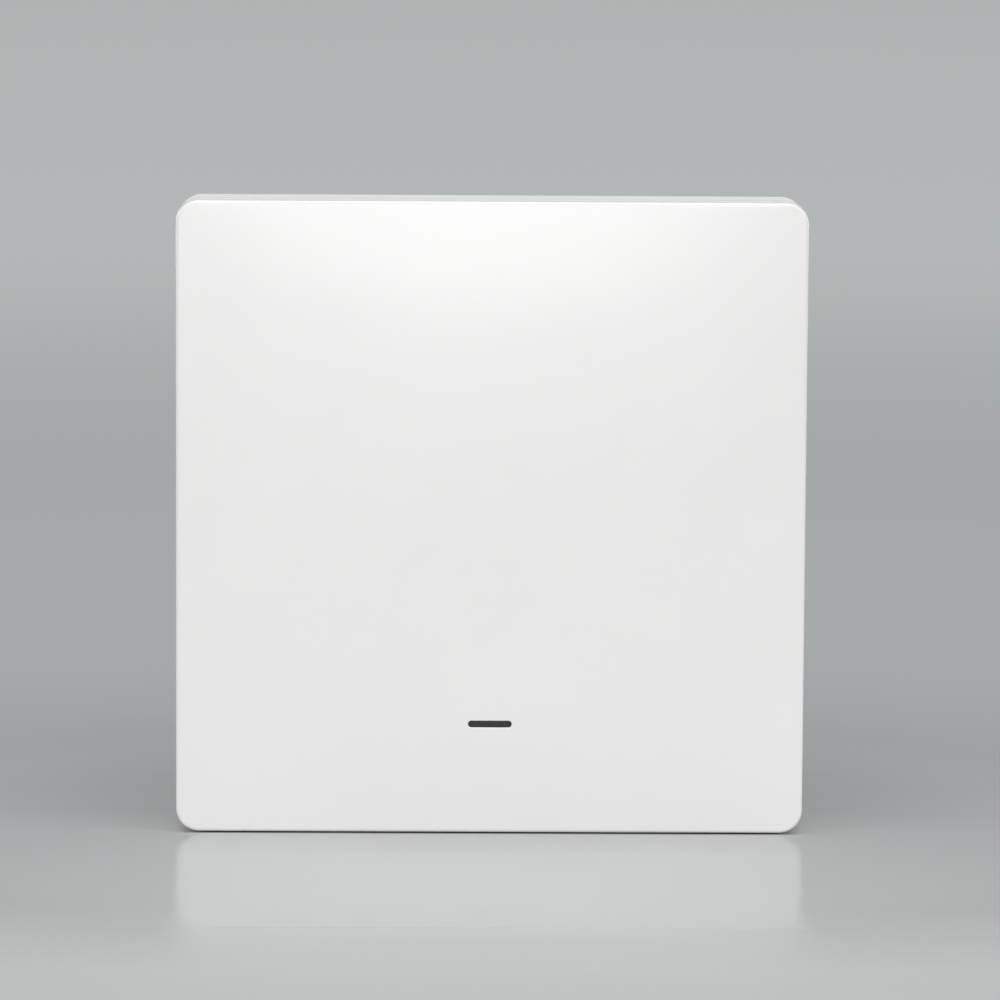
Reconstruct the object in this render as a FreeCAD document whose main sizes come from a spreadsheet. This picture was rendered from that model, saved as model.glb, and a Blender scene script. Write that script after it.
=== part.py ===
import FreeCAD
import Part
import Sketcher
import math
import os

# Battery powered wireless wall switch with one large rocker key.
# Millimetres. X runs to the right as seen from the room, Z is up and the wall lies behind, at +Y.
# The origin is the centre of the adhesive pad's wall face, and "depth" is the distance from
# that wall plane towards the room, which is -Y.

SIZES = (
    ("housing_width", 85.3, "housing outside, side to side"),
    ("housing_height", 86.0, "housing outside, bottom to top"),
    ("housing_corner", 3.2, "outside corner radius of the housing"),
    ("housing_back", 0.8, "depth of the housing's rear rim"),
    ("housing_depth", 10.0, "rear rim to front rim"),
    ("housing_wall", 1.6, "side wall of the housing"),
    ("housing_edge", 0.4, "rounding of the housing's outer rims"),
    ("deck_sink", 0.4, "deck face below the front rim"),
    ("deck_thick", 1.2, "deck of the housing"),
    ("baffle_inset", 2.4, "outside of the light baffle from the housing's outside"),
    ("baffle_wall", 1.2, "light baffle thickness"),
    ("baffle_rise", 0.9, "light baffle above the deck"),
    ("baffle_corner", 2.4, "outside corner radius of the light baffle"),
    ("rib_inset", 9.65, "stiffening rib under the deck from the housing's side"),
    ("rib_thick", 1.2, "stiffening rib thickness"),
    ("rib_drop", 1.5, "stiffening rib below the deck"),
    ("rib_end", 7.0, "ends of the stiffening ribs from the top and bottom"),
    ("key_side_inset", 0.15, "side of the key inside the side of the housing"),
    ("key_end_inset", 0.18, "top and bottom of the key inside those of the housing"),
    ("key_corner", 3.1, "corner radius of the key"),
    ("key_gap", 1.2, "front rim to the key's rear rim at rest"),
    ("key_side", 2.2, "key's rear rim to the plane of its face edges"),
    ("key_crown", 0.8, "rise of the domed face at its middle"),
    ("key_wall", 1.6, "front wall of the key"),
    ("key_side_wall", 1.4, "side wall of the key"),
    ("key_edge", 0.4, "rounding around the key's face"),
    ("key_rib_tip", 0.4, "key's rib tips below its inner edge plane"),
    ("key_rib_thick", 1.0, "key rib thickness"),
    ("key_rib_inset", 12.5, "outer upright ribs from the key's sides"),
    ("key_rib_drop", 20.0, "upper cross rib below the hinge axis"),
    ("key_rib_lift", 7.1, "lower cross rib above the indicator"),
    ("key_rib_side", 5.5, "ends of the cross ribs from the key's sides"),
    ("key_rib_end", 9.8, "ends of the upright ribs from the key's top and bottom"),
    ("root_bite", 0.2, "how far ribs and lugs reach into the key's wall"),
    ("hinge_drop", 8.0, "hinge axis below the top of the housing"),
    ("hinge_rise", 0.2, "hinge axis in front of the front rim"),
    ("hinge_inset", 14.65, "hinge lugs from the housing's sides"),
    ("pin_radius", 1.0, "hinge pin"),
    ("pin_length", 5.6, "hinge pin through the lug, end to end"),
    ("pin_play", 0.05, "radial play of the pin in its ears"),
    ("lug_thick", 1.6, "hinge lug thickness"),
    ("lug_rim", 0.6, "lug material around the pin"),
    ("lug_play", 0.4, "side play between a lug and an ear"),
    ("ear_thick", 1.7, "hinge ear thickness"),
    ("ear_length", 4.2, "hinge ear, bottom to top"),
    ("ear_mouth", 0.6, "ear tip in front of the hinge axis"),
    ("hook_inset", 18.65, "retaining hooks from the housing's sides"),
    ("hook_lift", 5.0, "retaining hook arms above the bottom of the housing"),
    ("hook_width", 5.2, "retaining hook width"),
    ("hook_arm", 1.2, "retaining hook arm thickness"),
    ("hook_catch", 1.0, "catch beyond the arm"),
    ("hook_nose", 0.95, "catch thickness"),
    ("hook_lead", 0.45, "bevelled rear part of the catch"),
    ("hook_play", 0.05, "catch to deck at rest"),
    ("hook_room", 0.4, "window clearance around the hook"),
    ("switch_inset", 10.0, "tact switches from the sides of the circuit board"),
    ("switch_z", 5.0, "tact switches below the middle"),
    ("switch_side", 6.0, "tact switch base side"),
    ("switch_body", 3.25, "tact switch base height"),
    ("switch_floor", 0.5, "floor of the tact switch base"),
    ("switch_well", 4.6, "well in the base"),
    ("switch_room", 0.3, "deck opening around the tact switch"),
    ("cover_thick", 0.25, "tact switch cover plate"),
    ("cover_side", 5.9, "cover plate side"),
    ("stake_inset", 0.85, "cover stakes from the base's edges"),
    ("stake_width", 0.7, "cover stake diameter"),
    ("stake_play", 0.05, "radial play of the stakes in the cover"),
    ("plunger_width", 3.3, "plunger stem diameter"),
    ("plunger_flange", 4.3, "plunger flange diameter"),
    ("plunger_play", 0.1, "radial play of the stem in the cover"),
    ("plunger_foot", 1.4, "plunger foot above the board"),
    ("plunger_tip", 4.3, "plunger tip above the board"),
    ("dome_width", 4.0, "snap dome diameter"),
    ("dome_flat", 2.0, "level middle of the snap dome"),
    ("dome_rise", 0.3, "snap dome height"),
    ("dome_thick", 0.08, "snap dome sheet"),
    ("terminal_width", 0.7, "switch terminal width"),
    ("terminal_thick", 0.2, "switch terminal thickness"),
    ("terminal_foot", 1.2, "switch terminal foot length"),
    ("terminal_rise", 0.9, "switch terminal height"),
    ("terminal_z", 2.25, "switch terminals from the switch's middle"),
    ("press_width", 5.0, "key boss over a plunger"),
    ("press_gap", 0.05, "key boss to plunger tip at rest"),
    ("board_width", 50.0, "circuit board, side to side"),
    ("board_top_gap", 12.0, "upper edge of the board below the top of the housing"),
    ("board_foot_gap", 10.0, "lower edge of the board above the bottom of the housing"),
    ("board_corner", 1.5, "corner radius of the circuit board"),
    ("board_thick", 1.0, "circuit board thickness"),
    ("board_gap", 1.4, "circuit board to the deck"),
    ("boss_width", 4.4, "screw boss diameter"),
    ("boss_inset", 4.0, "screw bosses from the edges of the circuit board"),
    ("screw_width", 2.0, "screw thread outside diameter"),
    ("screw_play", 0.03, "radial play of the screw in its boss"),
    ("screw_room", 0.1, "radial play of the screw in the board"),
    ("screw_length", 3.0, "screw under its head"),
    ("screw_tail", 0.1, "boss bore beyond the screw's end"),
    ("head_width", 3.6, "screw head diameter"),
    ("head_high", 1.1, "screw head height"),
    ("head_edge", 0.4, "rounding of the screw head"),
    ("recess_span", 2.2, "cross recess, tip to tip"),
    ("recess_width", 0.5, "cross recess blade width"),
    ("recess_deep", 0.6, "cross recess depth"),
    ("locator_inset", 2.5, "board locating pins from the sides of the board"),
    ("locator_z", 3.0, "board locating pins below the middle"),
    ("locator_width", 1.6, "board locating pin diameter"),
    ("locator_play", 0.1, "radial play of the locating pins"),
    ("locator_proud", 0.3, "locating pin beyond the board"),
    ("light_lift", 15.1, "indicator above the bottom of the housing"),
    ("slot_length", 5.87, "indicator slot in the key's face"),
    ("slot_width", 0.86, "indicator slot height"),
    ("slot_edge", 0.15, "rounding of the slot's rim"),
    ("lens_play", 0.02, "lens stem inside the slot, all round"),
    ("lens_sink", 0.3, "lens below the key's face"),
    ("lens_length", 8.0, "lens flange length"),
    ("lens_height", 3.0, "lens flange height"),
    ("lens_flange", 0.6, "lens flange thickness"),
    ("lens_corner", 0.6, "corner radius of the lens flange"),
    ("lens_seat", 0.1, "flat seat of the lens below the key's inner edge plane"),
    ("lens_margin", 1.0, "seat around the lens flange"),
    ("pipe_length", 6.4, "light pipe stem length"),
    ("pipe_height", 2.2, "light pipe stem height"),
    ("pipe_play", 0.1, "light pipe stem in the deck, all round"),
    ("pipe_proud", 0.5, "light pipe in front of the deck"),
    ("pipe_flange", 0.6, "light pipe flange thickness"),
    ("pipe_margin", 1.0, "light pipe flange around its stem"),
    ("pipe_corner", 0.6, "corner radius of the light pipe flange"),
    ("led_length", 1.6, "indicator lamp length"),
    ("led_width", 0.8, "indicator lamp width"),
    ("led_base", 0.25, "indicator lamp base"),
    ("led_lens", 0.35, "indicator lamp lens above its base"),
    ("led_lens_length", 1.2, "indicator lamp lens length"),
    ("chip_side", 5.0, "radio chip side"),
    ("chip_high", 0.9, "radio chip height"),
    ("chip_x", 4.0, "radio chip left of the middle"),
    ("chip_z", 12.0, "radio chip above the middle"),
    ("crystal_length", 3.2, "crystal length"),
    ("crystal_width", 2.5, "crystal width"),
    ("crystal_base", 0.35, "crystal's ceramic base"),
    ("crystal_lid", 0.35, "crystal's metal lid above its base"),
    ("crystal_ledge", 0.18, "crystal's base around its lid"),
    ("crystal_corner", 0.35, "corner radius of the crystal's lid"),
    ("crystal_x", 4.5, "crystal right of the middle"),
    ("antenna_length", 7.0, "ceramic antenna length"),
    ("antenna_width", 2.0, "ceramic antenna width"),
    ("antenna_high", 1.0, "ceramic antenna height"),
    ("antenna_inset", 4.0, "ceramic antenna below the upper edge of the board"),
    ("passive_length", 1.6, "chip resistor or capacitor length"),
    ("passive_width", 0.8, "chip resistor or capacitor width"),
    ("passive_high", 0.5, "chip resistor or capacitor height"),
    ("passive_count", 7, "chip resistors and capacitors in the row"),
    ("passive_step", 2.6, "spacing of the chip parts"),
    ("passive_z", 4.6, "row of chip parts above the middle"),
    ("cell_width", 20.0, "coin cell can diameter"),
    ("cell_cap", 17.6, "coin cell cap diameter"),
    ("cell_high", 3.2, "coin cell height"),
    ("cell_step", 0.4, "coin cell cap beyond the can"),
    ("cell_edge", 0.35, "rounding of the can"),
    ("cell_z", 4.0, "coin cell above the middle"),
    ("contact_thick", 0.2, "negative contact sheet"),
    ("contact_length", 14.0, "negative contact length"),
    ("contact_width", 6.0, "negative contact width"),
    ("contact_corner", 0.5, "corner radius of the negative contact"),
    ("clip_thick", 0.25, "positive contact sheet"),
    ("clip_width", 7.0, "positive contact width"),
    ("clip_room", 0.3, "positive contact to the can's side"),
    ("clip_foot", 3.0, "positive contact foot length"),
    ("plate_back", 0.6, "depth of the wall plate's rear face"),
    ("plate_thick", 2.2, "wall plate thickness"),
    ("plate_play", 0.25, "wall plate inside the housing, all round"),
    ("plate_rim_inset", 1.4, "wall plate's upstand from its edge"),
    ("plate_rim_wall", 1.2, "wall plate's upstand thickness"),
    ("plate_rim_rise", 1.2, "wall plate's upstand height"),
    ("tongue_inset", 16.8, "friction tongues from the sides of the wall plate"),
    ("tongue_width", 9.0, "friction tongue width"),
    ("tongue_thick", 1.1, "friction tongue thickness"),
    ("tongue_rise", 3.4, "friction tongue height"),
    ("tongue_bump", 0.2, "bump on a friction tongue"),
    ("tongue_lead", 0.6, "slope of the bump"),
    ("wall_hole_pitch", 60.0, "wall screw spacing"),
    ("wall_hole_width", 4.2, "wall screw slot width"),
    ("wall_hole_length", 8.2, "wall screw slot, end to end"),
    ("wall_head_margin", 2.1, "screw head recess around the slot"),
    ("wall_head_deep", 1.0, "screw head recess depth"),
    ("pry_width", 10.0, "pry notch width"),
    ("pry_deep", 1.2, "pry notch in the wall plate's edge"),
    ("pry_high", 1.2, "pry notch in the housing's rear rim"),
    ("pad_side", 8.0, "sides of the adhesive pad from the middles of the screw slots"),
    ("pad_end", 9.15, "ends of the adhesive pad from those of the wall plate"),
    ("pad_thick", 1.1, "adhesive pad thickness"),
    ("pad_corner", 2.0, "adhesive pad corner radius"),
    ("pad_play", 0.3, "pad inside its recess, all round"),
    ("bumper_inset", 8.15, "silicone bumpers from the housing's sides"),
    ("bumper_lift", 7.0, "silicone bumpers above the bottom of the housing"),
    ("bumper_width", 5.0, "silicone bumper diameter"),
    ("bumper_rise", 1.1, "silicone bumper height"),
    ("bumper_edge", 0.3, "rounding of a bumper"),
    ("overshoot", 1.0, "how far a cutting shape reaches past the faces it opens"),
)

# Edges count as level within SAME_PLACE mm, and a feature must change its body by LEAST_CHANGE mm3.
SAME_PLACE = 1e-4
LEAST_CHANGE = 1e-6

doc = FreeCAD.newDocument("wall_switch")
sheet = doc.addObject("Spreadsheet::Sheet", "Size")
for row, (alias, value, meaning) in enumerate(SIZES, 1):
    sheet.set(f"A{row}", meaning)
    sheet.set(f"B{row}", str(value))
    sheet.setAlias(f"B{row}", alias)
doc.recompute()

# Depths of the main faces, each worked out from the sheet.
RIM_FRONT = "(Size.housing_back + Size.housing_depth)"
DECK_FRONT = f"({RIM_FRONT} - Size.deck_sink)"
DECK_BACK = f"({DECK_FRONT} - Size.deck_thick)"
BOARD_FRONT = f"({DECK_BACK} - Size.board_gap)"
BOARD_BACK = f"({BOARD_FRONT} - Size.board_thick)"
PLATE_FRONT = "(Size.plate_back + Size.plate_thick)"
KEY_BACK = f"({RIM_FRONT} + Size.key_gap)"
KEY_EDGE = f"({KEY_BACK} + Size.key_side)"
KEY_FRONT = f"({KEY_EDGE} + Size.key_crown)"
KEY_INNER = f"({KEY_EDGE} - Size.key_wall)"
KEY_ROOT = f"({KEY_INNER} + Size.key_crown + Size.root_bite)"
RIB_TIP = f"({KEY_INNER} - Size.key_rib_tip)"
LENS_SEAT = f"({KEY_INNER} - Size.lens_seat)"
SWITCH_TOP = "(Size.switch_body + Size.cover_thick)"
HINGE_DEPTH = f"({RIM_FRONT} + Size.hinge_rise)"

# Widths, heights and places across the face, from the same sheet.
HALF_WIDTH = "(Size.housing_width / 2)"
HALF_HEIGHT = "(Size.housing_height / 2)"
KEY_WIDTH = "(Size.housing_width - 2 * Size.key_side_inset)"
KEY_HEIGHT = "(Size.housing_height - 2 * Size.key_end_inset)"
PLATE_WIDTH = "(Size.housing_width - 2 * (Size.housing_wall + Size.plate_play))"
PLATE_HEIGHT = "(Size.housing_height - 2 * (Size.housing_wall + Size.plate_play))"
HINGE_X = f"({HALF_WIDTH} - Size.hinge_inset)"
HINGE_Z = f"({HALF_HEIGHT} - Size.hinge_drop)"
HOOK_X = f"({HALF_WIDTH} - Size.hook_inset)"
HOOK_Z = f"(Size.hook_lift - {HALF_HEIGHT})"
LIGHT_Z = f"(Size.light_lift - {HALF_HEIGHT})"
BUMPER_X = f"({HALF_WIDTH} - Size.bumper_inset)"
BUMPER_Z = f"(Size.bumper_lift - {HALF_HEIGHT})"
BOARD_TOP = f"({HALF_HEIGHT} - Size.board_top_gap)"
BOARD_FOOT = f"(Size.board_foot_gap - {HALF_HEIGHT})"
SWITCH_X = "(Size.board_width / 2 - Size.switch_inset)"
BOSS_X = "(Size.board_width / 2 - Size.boss_inset)"
LOCATOR_X = "(Size.board_width / 2 - Size.locator_inset)"
TONGUE_X = f"({PLATE_WIDTH} / 2 - Size.tongue_inset)"
PAD_WIDTH = "(Size.wall_hole_pitch - 2 * Size.pad_side)"
PAD_HEIGHT = f"({PLATE_HEIGHT} - 2 * Size.pad_end)"


def number(expression):
    """The value of a sheet expression in millimetres."""
    return float(sheet.evalExpression(expression))


def new_body(label):
    """A sub-part, whose label names its file."""
    body = doc.addObject("PartDesign::Body", label)
    body.Label = label
    return body


def place(body, x="0", depth="0", z="0"):
    """Moves a sub-part drawn around its own origin to its place."""
    body.setExpression("Placement.Base.x", x)
    body.setExpression("Placement.Base.y", f"-({depth})")
    body.setExpression("Placement.Base.z", z)


def constrain(sketch, kind, elements, expression):
    """Adds a dimension that follows the sheet."""
    index = sketch.addConstraint(Sketcher.Constraint(kind, *elements, number(expression)))
    sketch.setExpression(f"Constraints[{index}]", expression)


def join(sketch, kind, *elements):
    """Adds a constraint without a dimension."""
    sketch.addConstraint(Sketcher.Constraint(kind, *elements))


def circle(sketch, x, z, width):
    """A circle of the given diameter."""
    centre = FreeCAD.Vector(number(x), number(z), 0)
    curve = sketch.addGeometry(Part.Circle(centre, FreeCAD.Vector(0, 0, 1), number(width) / 2), False)
    constrain(sketch, "DistanceX", (-1, 1, curve, 3), x)
    constrain(sketch, "DistanceY", (-1, 1, curve, 3), z)
    constrain(sketch, "Radius", (curve,), f"({width}) / 2")


def outline(sketch, points):
    """A closed outline of straight lines through points given as expressions."""
    corners = [FreeCAD.Vector(number(x), number(z), 0) for x, z in points]
    lines = []
    for start, end in zip(corners, corners[1:] + corners[:1]):
        lines.append(sketch.addGeometry(Part.LineSegment(start, end), False))
    for line, following in zip(lines, lines[1:] + lines[:1]):
        join(sketch, "Coincident", line, 2, following, 1)
    for line, (x, z) in zip(lines, points):
        constrain(sketch, "DistanceX", (-1, 1, line, 1), x)
        constrain(sketch, "DistanceY", (-1, 1, line, 1), z)


def rectangle(sketch, x, z, width, height):
    """A rectangle around a centre."""
    left, right = f"({x}) - ({width}) / 2", f"({x}) + ({width}) / 2"
    foot, top = f"({z}) - ({height}) / 2", f"({z}) + ({height}) / 2"
    outline(sketch, [(left, foot), (right, foot), (right, top), (left, top)])


def rounded(sketch, x, z, width, height, radius):
    """A rectangle around a centre, with its four corners rounded."""
    middle_x, middle_z = number(x), number(z)
    half_x, half_z, bend = number(width) / 2, number(height) / 2, number(radius)
    signs = ((-1, -1), (1, -1), (1, 1), (-1, 1))
    arcs, lines = [], []
    quarter = math.pi / 2
    for turn, (side, up) in enumerate(signs):
        centre = FreeCAD.Vector(middle_x + side * (half_x - bend), middle_z + up * (half_z - bend), 0)
        bow = Part.Circle(centre, FreeCAD.Vector(0, 0, 1), bend)
        start = quarter * (turn + 2)
        arcs.append(sketch.addGeometry(Part.ArcOfCircle(bow, start, start + quarter), False))
    for arc, following in zip(arcs, arcs[1:] + arcs[:1]):
        start, end = sketch.Geometry[arc].EndPoint, sketch.Geometry[following].StartPoint
        line = sketch.addGeometry(Part.LineSegment(start, end), False)
        join(sketch, "Tangent", arc, 2, line, 1)
        join(sketch, "Tangent", line, 2, following, 1)
        lines.append(line)
    foot, right, top, left = lines
    join(sketch, "Horizontal", foot)
    join(sketch, "Horizontal", top)
    join(sketch, "Vertical", left)
    join(sketch, "Vertical", right)
    for arc in arcs[1:]:
        join(sketch, "Equal", arcs[0], arc)
    constrain(sketch, "Radius", (arcs[0],), radius)
    constrain(sketch, "DistanceX", (-1, 1, left, 1), f"({x}) - ({width}) / 2")
    constrain(sketch, "DistanceX", (-1, 1, right, 1), f"({x}) + ({width}) / 2")
    constrain(sketch, "DistanceY", (-1, 1, foot, 1), f"({z}) - ({height}) / 2")
    constrain(sketch, "DistanceY", (-1, 1, top, 1), f"({z}) + ({height}) / 2")


def stadium(sketch, x, z, length, height):
    """A level slot with round ends."""
    middle_x, middle_z = number(x), number(z)
    bend = number(height) / 2
    reach = number(length) / 2 - bend
    ends = []
    for side, start in ((1, -math.pi / 2), (-1, math.pi / 2)):
        centre = FreeCAD.Vector(middle_x + side * reach, middle_z, 0)
        bow = Part.Circle(centre, FreeCAD.Vector(0, 0, 1), bend)
        ends.append(sketch.addGeometry(Part.ArcOfCircle(bow, start, start + math.pi), False))
    right, left = ends
    for first, second in ((right, left), (left, right)):
        start, end = sketch.Geometry[first].EndPoint, sketch.Geometry[second].StartPoint
        line = sketch.addGeometry(Part.LineSegment(start, end), False)
        join(sketch, "Tangent", first, 2, line, 1)
        join(sketch, "Tangent", line, 2, second, 1)
    join(sketch, "Equal", right, left)
    constrain(sketch, "Radius", (right,), f"({height}) / 2")
    for side, end in ((1, right), (-1, left)):
        constrain(sketch, "DistanceX", (-1, 1, end, 3), f"({x}) + {side} * (({length}) - ({height})) / 2")
        constrain(sketch, "DistanceY", (-1, 1, end, 3), z)


def feature(body, name, plane, start, end, shapes, kind):
    """A pad or pocket from one distance to another along the normal of a main plane."""
    sketch = body.newObject("Sketcher::SketchObject", f"{body.Name}_{name}_sketch")
    faces = {face.Role: face for face in body.Origin.OriginFeatures}
    sketch.AttachmentSupport = (faces[plane], "")
    sketch.MapMode = "FlatFace"
    sketch.setExpression("AttachmentOffset.Base.z", start)
    for draw, *sizes in shapes:
        draw(sketch, *sizes)
    made = body.newObject(kind, f"{body.Name}_{name}")
    made.Profile = sketch
    made.setExpression("Length", f"({end}) - ({start})")
    return made


def add(body, name, start, end, *shapes):
    """Adds material between two depths."""
    return feature(body, name, "XZ_Plane", start, end, shapes, "PartDesign::Pad")


def cut(body, name, start, end, *shapes):
    """Removes material between two depths."""
    made = feature(body, name, "XZ_Plane", start, end, shapes, "PartDesign::Pocket")
    made.Reversed = True
    return made


def add_across(body, name, middle, width, *shapes):
    """Adds a piece of constant side section, centred on a distance from the middle plane."""
    start, end = f"({middle}) - ({width}) / 2", f"({middle}) + ({width}) / 2"
    return feature(body, name, "YZ_Plane", start, end, shapes, "PartDesign::Pad")


def cut_across(body, name, middle, width, *shapes):
    """Cuts a constant side section, centred on a distance from the middle plane."""
    start, end = f"({middle}) - ({width}) / 2", f"({middle}) + ({width}) / 2"
    made = feature(body, name, "YZ_Plane", start, end, shapes, "PartDesign::Pocket")
    made.Reversed = True
    return made


def round_edges(body, name, base, radius, wanted):
    """Rounds the edges of a feature that a test picks out."""
    doc.recompute()
    edges = [f"Edge{index}" for index, edge in enumerate(base.Shape.Edges, 1) if wanted(edge)]
    made = body.newObject("PartDesign::Fillet", f"{body.Name}_{name}")
    made.Base = (base, edges)
    made.setExpression("Radius", radius)
    return made


def flat_at(depth):
    """A test for edges that lie at one depth."""
    level = -number(depth)

    def at_depth(edge):
        box = edge.BoundBox
        return abs(box.YMin - level) < SAME_PLACE and abs(box.YMax - level) < SAME_PLACE

    return at_depth


def both_sides(expression):
    """Left and right distances from the middle plane."""
    return (("left", f"-({expression})"), ("right", f"({expression})"))


def crowned_block(name, depth):
    """A block whose front face is the key's dome, with the dome's edges at the given depth.

    The dome is a patch with straight edges and a level middle. It is wider than the key by the
    key's corner radius all round, so the key's own outline trims it."""
    degree = 4
    half_x = number(f"{KEY_WIDTH} / 2 + Size.key_corner")
    half_z = number(f"{KEY_HEIGHT} / 2 + Size.key_corner")
    level = number(depth)
    centre_share = 1 - 2 / 2 ** degree
    rise = number("Size.key_crown") / centre_share ** 2
    patch = Part.BezierSurface()
    patch.increase(degree, degree)
    for across in range(degree + 1):
        for up in range(degree + 1):
            inside = 0 < across < degree and 0 < up < degree
            x = half_x * (2 * across / degree - 1)
            z = half_z * (2 * up / degree - 1)
            patch.setPole(across + 1, up + 1, FreeCAD.Vector(x, -level - rise * inside, z))
    block = doc.addObject("Part::Feature", name)
    reach = number(KEY_FRONT)
    block.Shape = patch.toShape().extrude(FreeCAD.Vector(0, reach, 0))
    return block


def build_key():
    """The rocker key: a domed shell with ribs, hinge pins, hooks and a slot for its lens."""
    outer = new_body("key_outer_block")
    add(outer, "prism", KEY_BACK, f"{KEY_FRONT} + Size.overshoot",
        (rounded, "0", "0", KEY_WIDTH, KEY_HEIGHT, "Size.key_corner"))
    inner = new_body("key_inner_block")
    inside = [f"{side} - 2 * Size.key_side_wall" for side in (KEY_WIDTH, KEY_HEIGHT)]
    add(inner, "prism", f"{KEY_BACK} - Size.overshoot", KEY_FRONT,
        (rounded, "0", "0", *inside, "Size.key_corner - Size.key_side_wall"))
    faces = []
    for block, name, depth in ((outer, "key_outside", KEY_EDGE), (inner, "key_inside", KEY_INNER)):
        domed = doc.addObject("Part::Common", name)
        domed.Base = block
        domed.Tool = crowned_block(f"{name}_dome", depth)
        faces.append(domed)
    shell = doc.addObject("Part::Cut", "key_shell")
    shell.Base, shell.Tool = faces

    key = new_body("rocker_key")
    key.BaseFeature = shell
    doc.recompute()
    front = -number(f"({KEY_EDGE} + {KEY_INNER}) / 2")
    key_face = key.Group[0]
    round_edges(key, "face_edge", key_face, "Size.key_edge", lambda edge: edge.BoundBox.YMax < front)
    uprights = both_sides(f"({KEY_WIDTH} / 2 - Size.key_rib_inset)") + both_sides(SWITCH_X)
    for index, (_, x) in enumerate(uprights):
        add(key, f"upright_rib_{index}", RIB_TIP, KEY_ROOT,
            (rectangle, x, "0", "Size.key_rib_thick", f"{KEY_HEIGHT} - 2 * Size.key_rib_end"))
    levels = (f"{HINGE_Z} - Size.key_rib_drop", "-Size.switch_z", f"{LIGHT_Z} + Size.key_rib_lift")
    for index, z in enumerate(levels):
        add(key, f"cross_rib_{index}", RIB_TIP, KEY_ROOT,
            (rectangle, "0", z, f"{KEY_WIDTH} - 2 * Size.key_rib_side", "Size.key_rib_thick"))
    add(key, "lens_seat", LENS_SEAT, KEY_ROOT,
        (rectangle, "0", LIGHT_Z, "Size.lens_length + 2 * Size.lens_margin",
         "Size.lens_height + 2 * Size.lens_margin"))
    cut(key, "slot", f"{LENS_SEAT} - Size.overshoot", f"{KEY_FRONT} + Size.overshoot",
        (stadium, "0", LIGHT_Z, "Size.slot_length", "Size.slot_width"))
    slot_side = number("Size.slot_length / 2") + SAME_PLACE
    round_edges(key, "slot_rim", key.Tip, "Size.slot_edge",
                lambda edge: edge.BoundBox.YMax < front and abs(edge.BoundBox.XMin) < slot_side
                and abs(edge.BoundBox.XMax) < slot_side)
    for side, x in both_sides(SWITCH_X):
        add(key, f"press_boss_{side}", f"{BOARD_FRONT} + Size.plunger_tip + Size.press_gap", KEY_ROOT,
            (circle, x, "-Size.switch_z", "Size.press_width"))
    lug_radius = "(Size.pin_radius + Size.lug_rim)"
    for side, x in both_sides(HINGE_X):
        add_across(key, f"lug_{side}", x, "Size.lug_thick",
                   (rectangle, f"-({KEY_ROOT} + {HINGE_DEPTH}) / 2", HINGE_Z,
                    f"{KEY_ROOT} - {HINGE_DEPTH}", f"2 * {lug_radius}"))
        add_across(key, f"lug_end_{side}", x, "Size.lug_thick",
                   (circle, f"-{HINGE_DEPTH}", HINGE_Z, f"2 * {lug_radius}"))
        add_across(key, f"pin_{side}", x, "Size.pin_length",
                   (circle, f"-{HINGE_DEPTH}", HINGE_Z, "2 * Size.pin_radius"))
    catch_front = f"({DECK_BACK} - Size.hook_play)"
    catch_back = f"({catch_front} - Size.hook_nose)"
    arm_foot = f"{HOOK_Z} - Size.hook_arm / 2"
    arm_top = f"{HOOK_Z} + Size.hook_arm / 2"
    catch_tip = f"{arm_top} + Size.hook_catch"
    for side, x in both_sides(HOOK_X):
        add_across(key, f"hook_{side}", x, "Size.hook_width",
                   (outline, [(f"-{KEY_ROOT}", arm_foot),
                              (f"-{catch_back}", arm_foot),
                              (f"-{catch_back}", arm_top),
                              (f"-({catch_back} + Size.hook_lead)", catch_tip),
                              (f"-{catch_front}", catch_tip),
                              (f"-{catch_front}", arm_top),
                              (f"-{KEY_ROOT}", arm_top)]))
    return key


def build_light_window():
    """The smoked lens: a stem in the key's slot and a flange on the seat behind it."""
    lens = new_body("light_window")
    add(lens, "flange", f"{LENS_SEAT} - Size.lens_flange", LENS_SEAT,
        (rounded, "0", LIGHT_Z, "Size.lens_length", "Size.lens_height", "Size.lens_corner"))
    add(lens, "stem", LENS_SEAT, f"{KEY_FRONT} - Size.lens_sink",
        (stadium, "0", LIGHT_Z, "Size.slot_length - 2 * Size.lens_play",
         "Size.slot_width - 2 * Size.lens_play"))
    return lens


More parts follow.
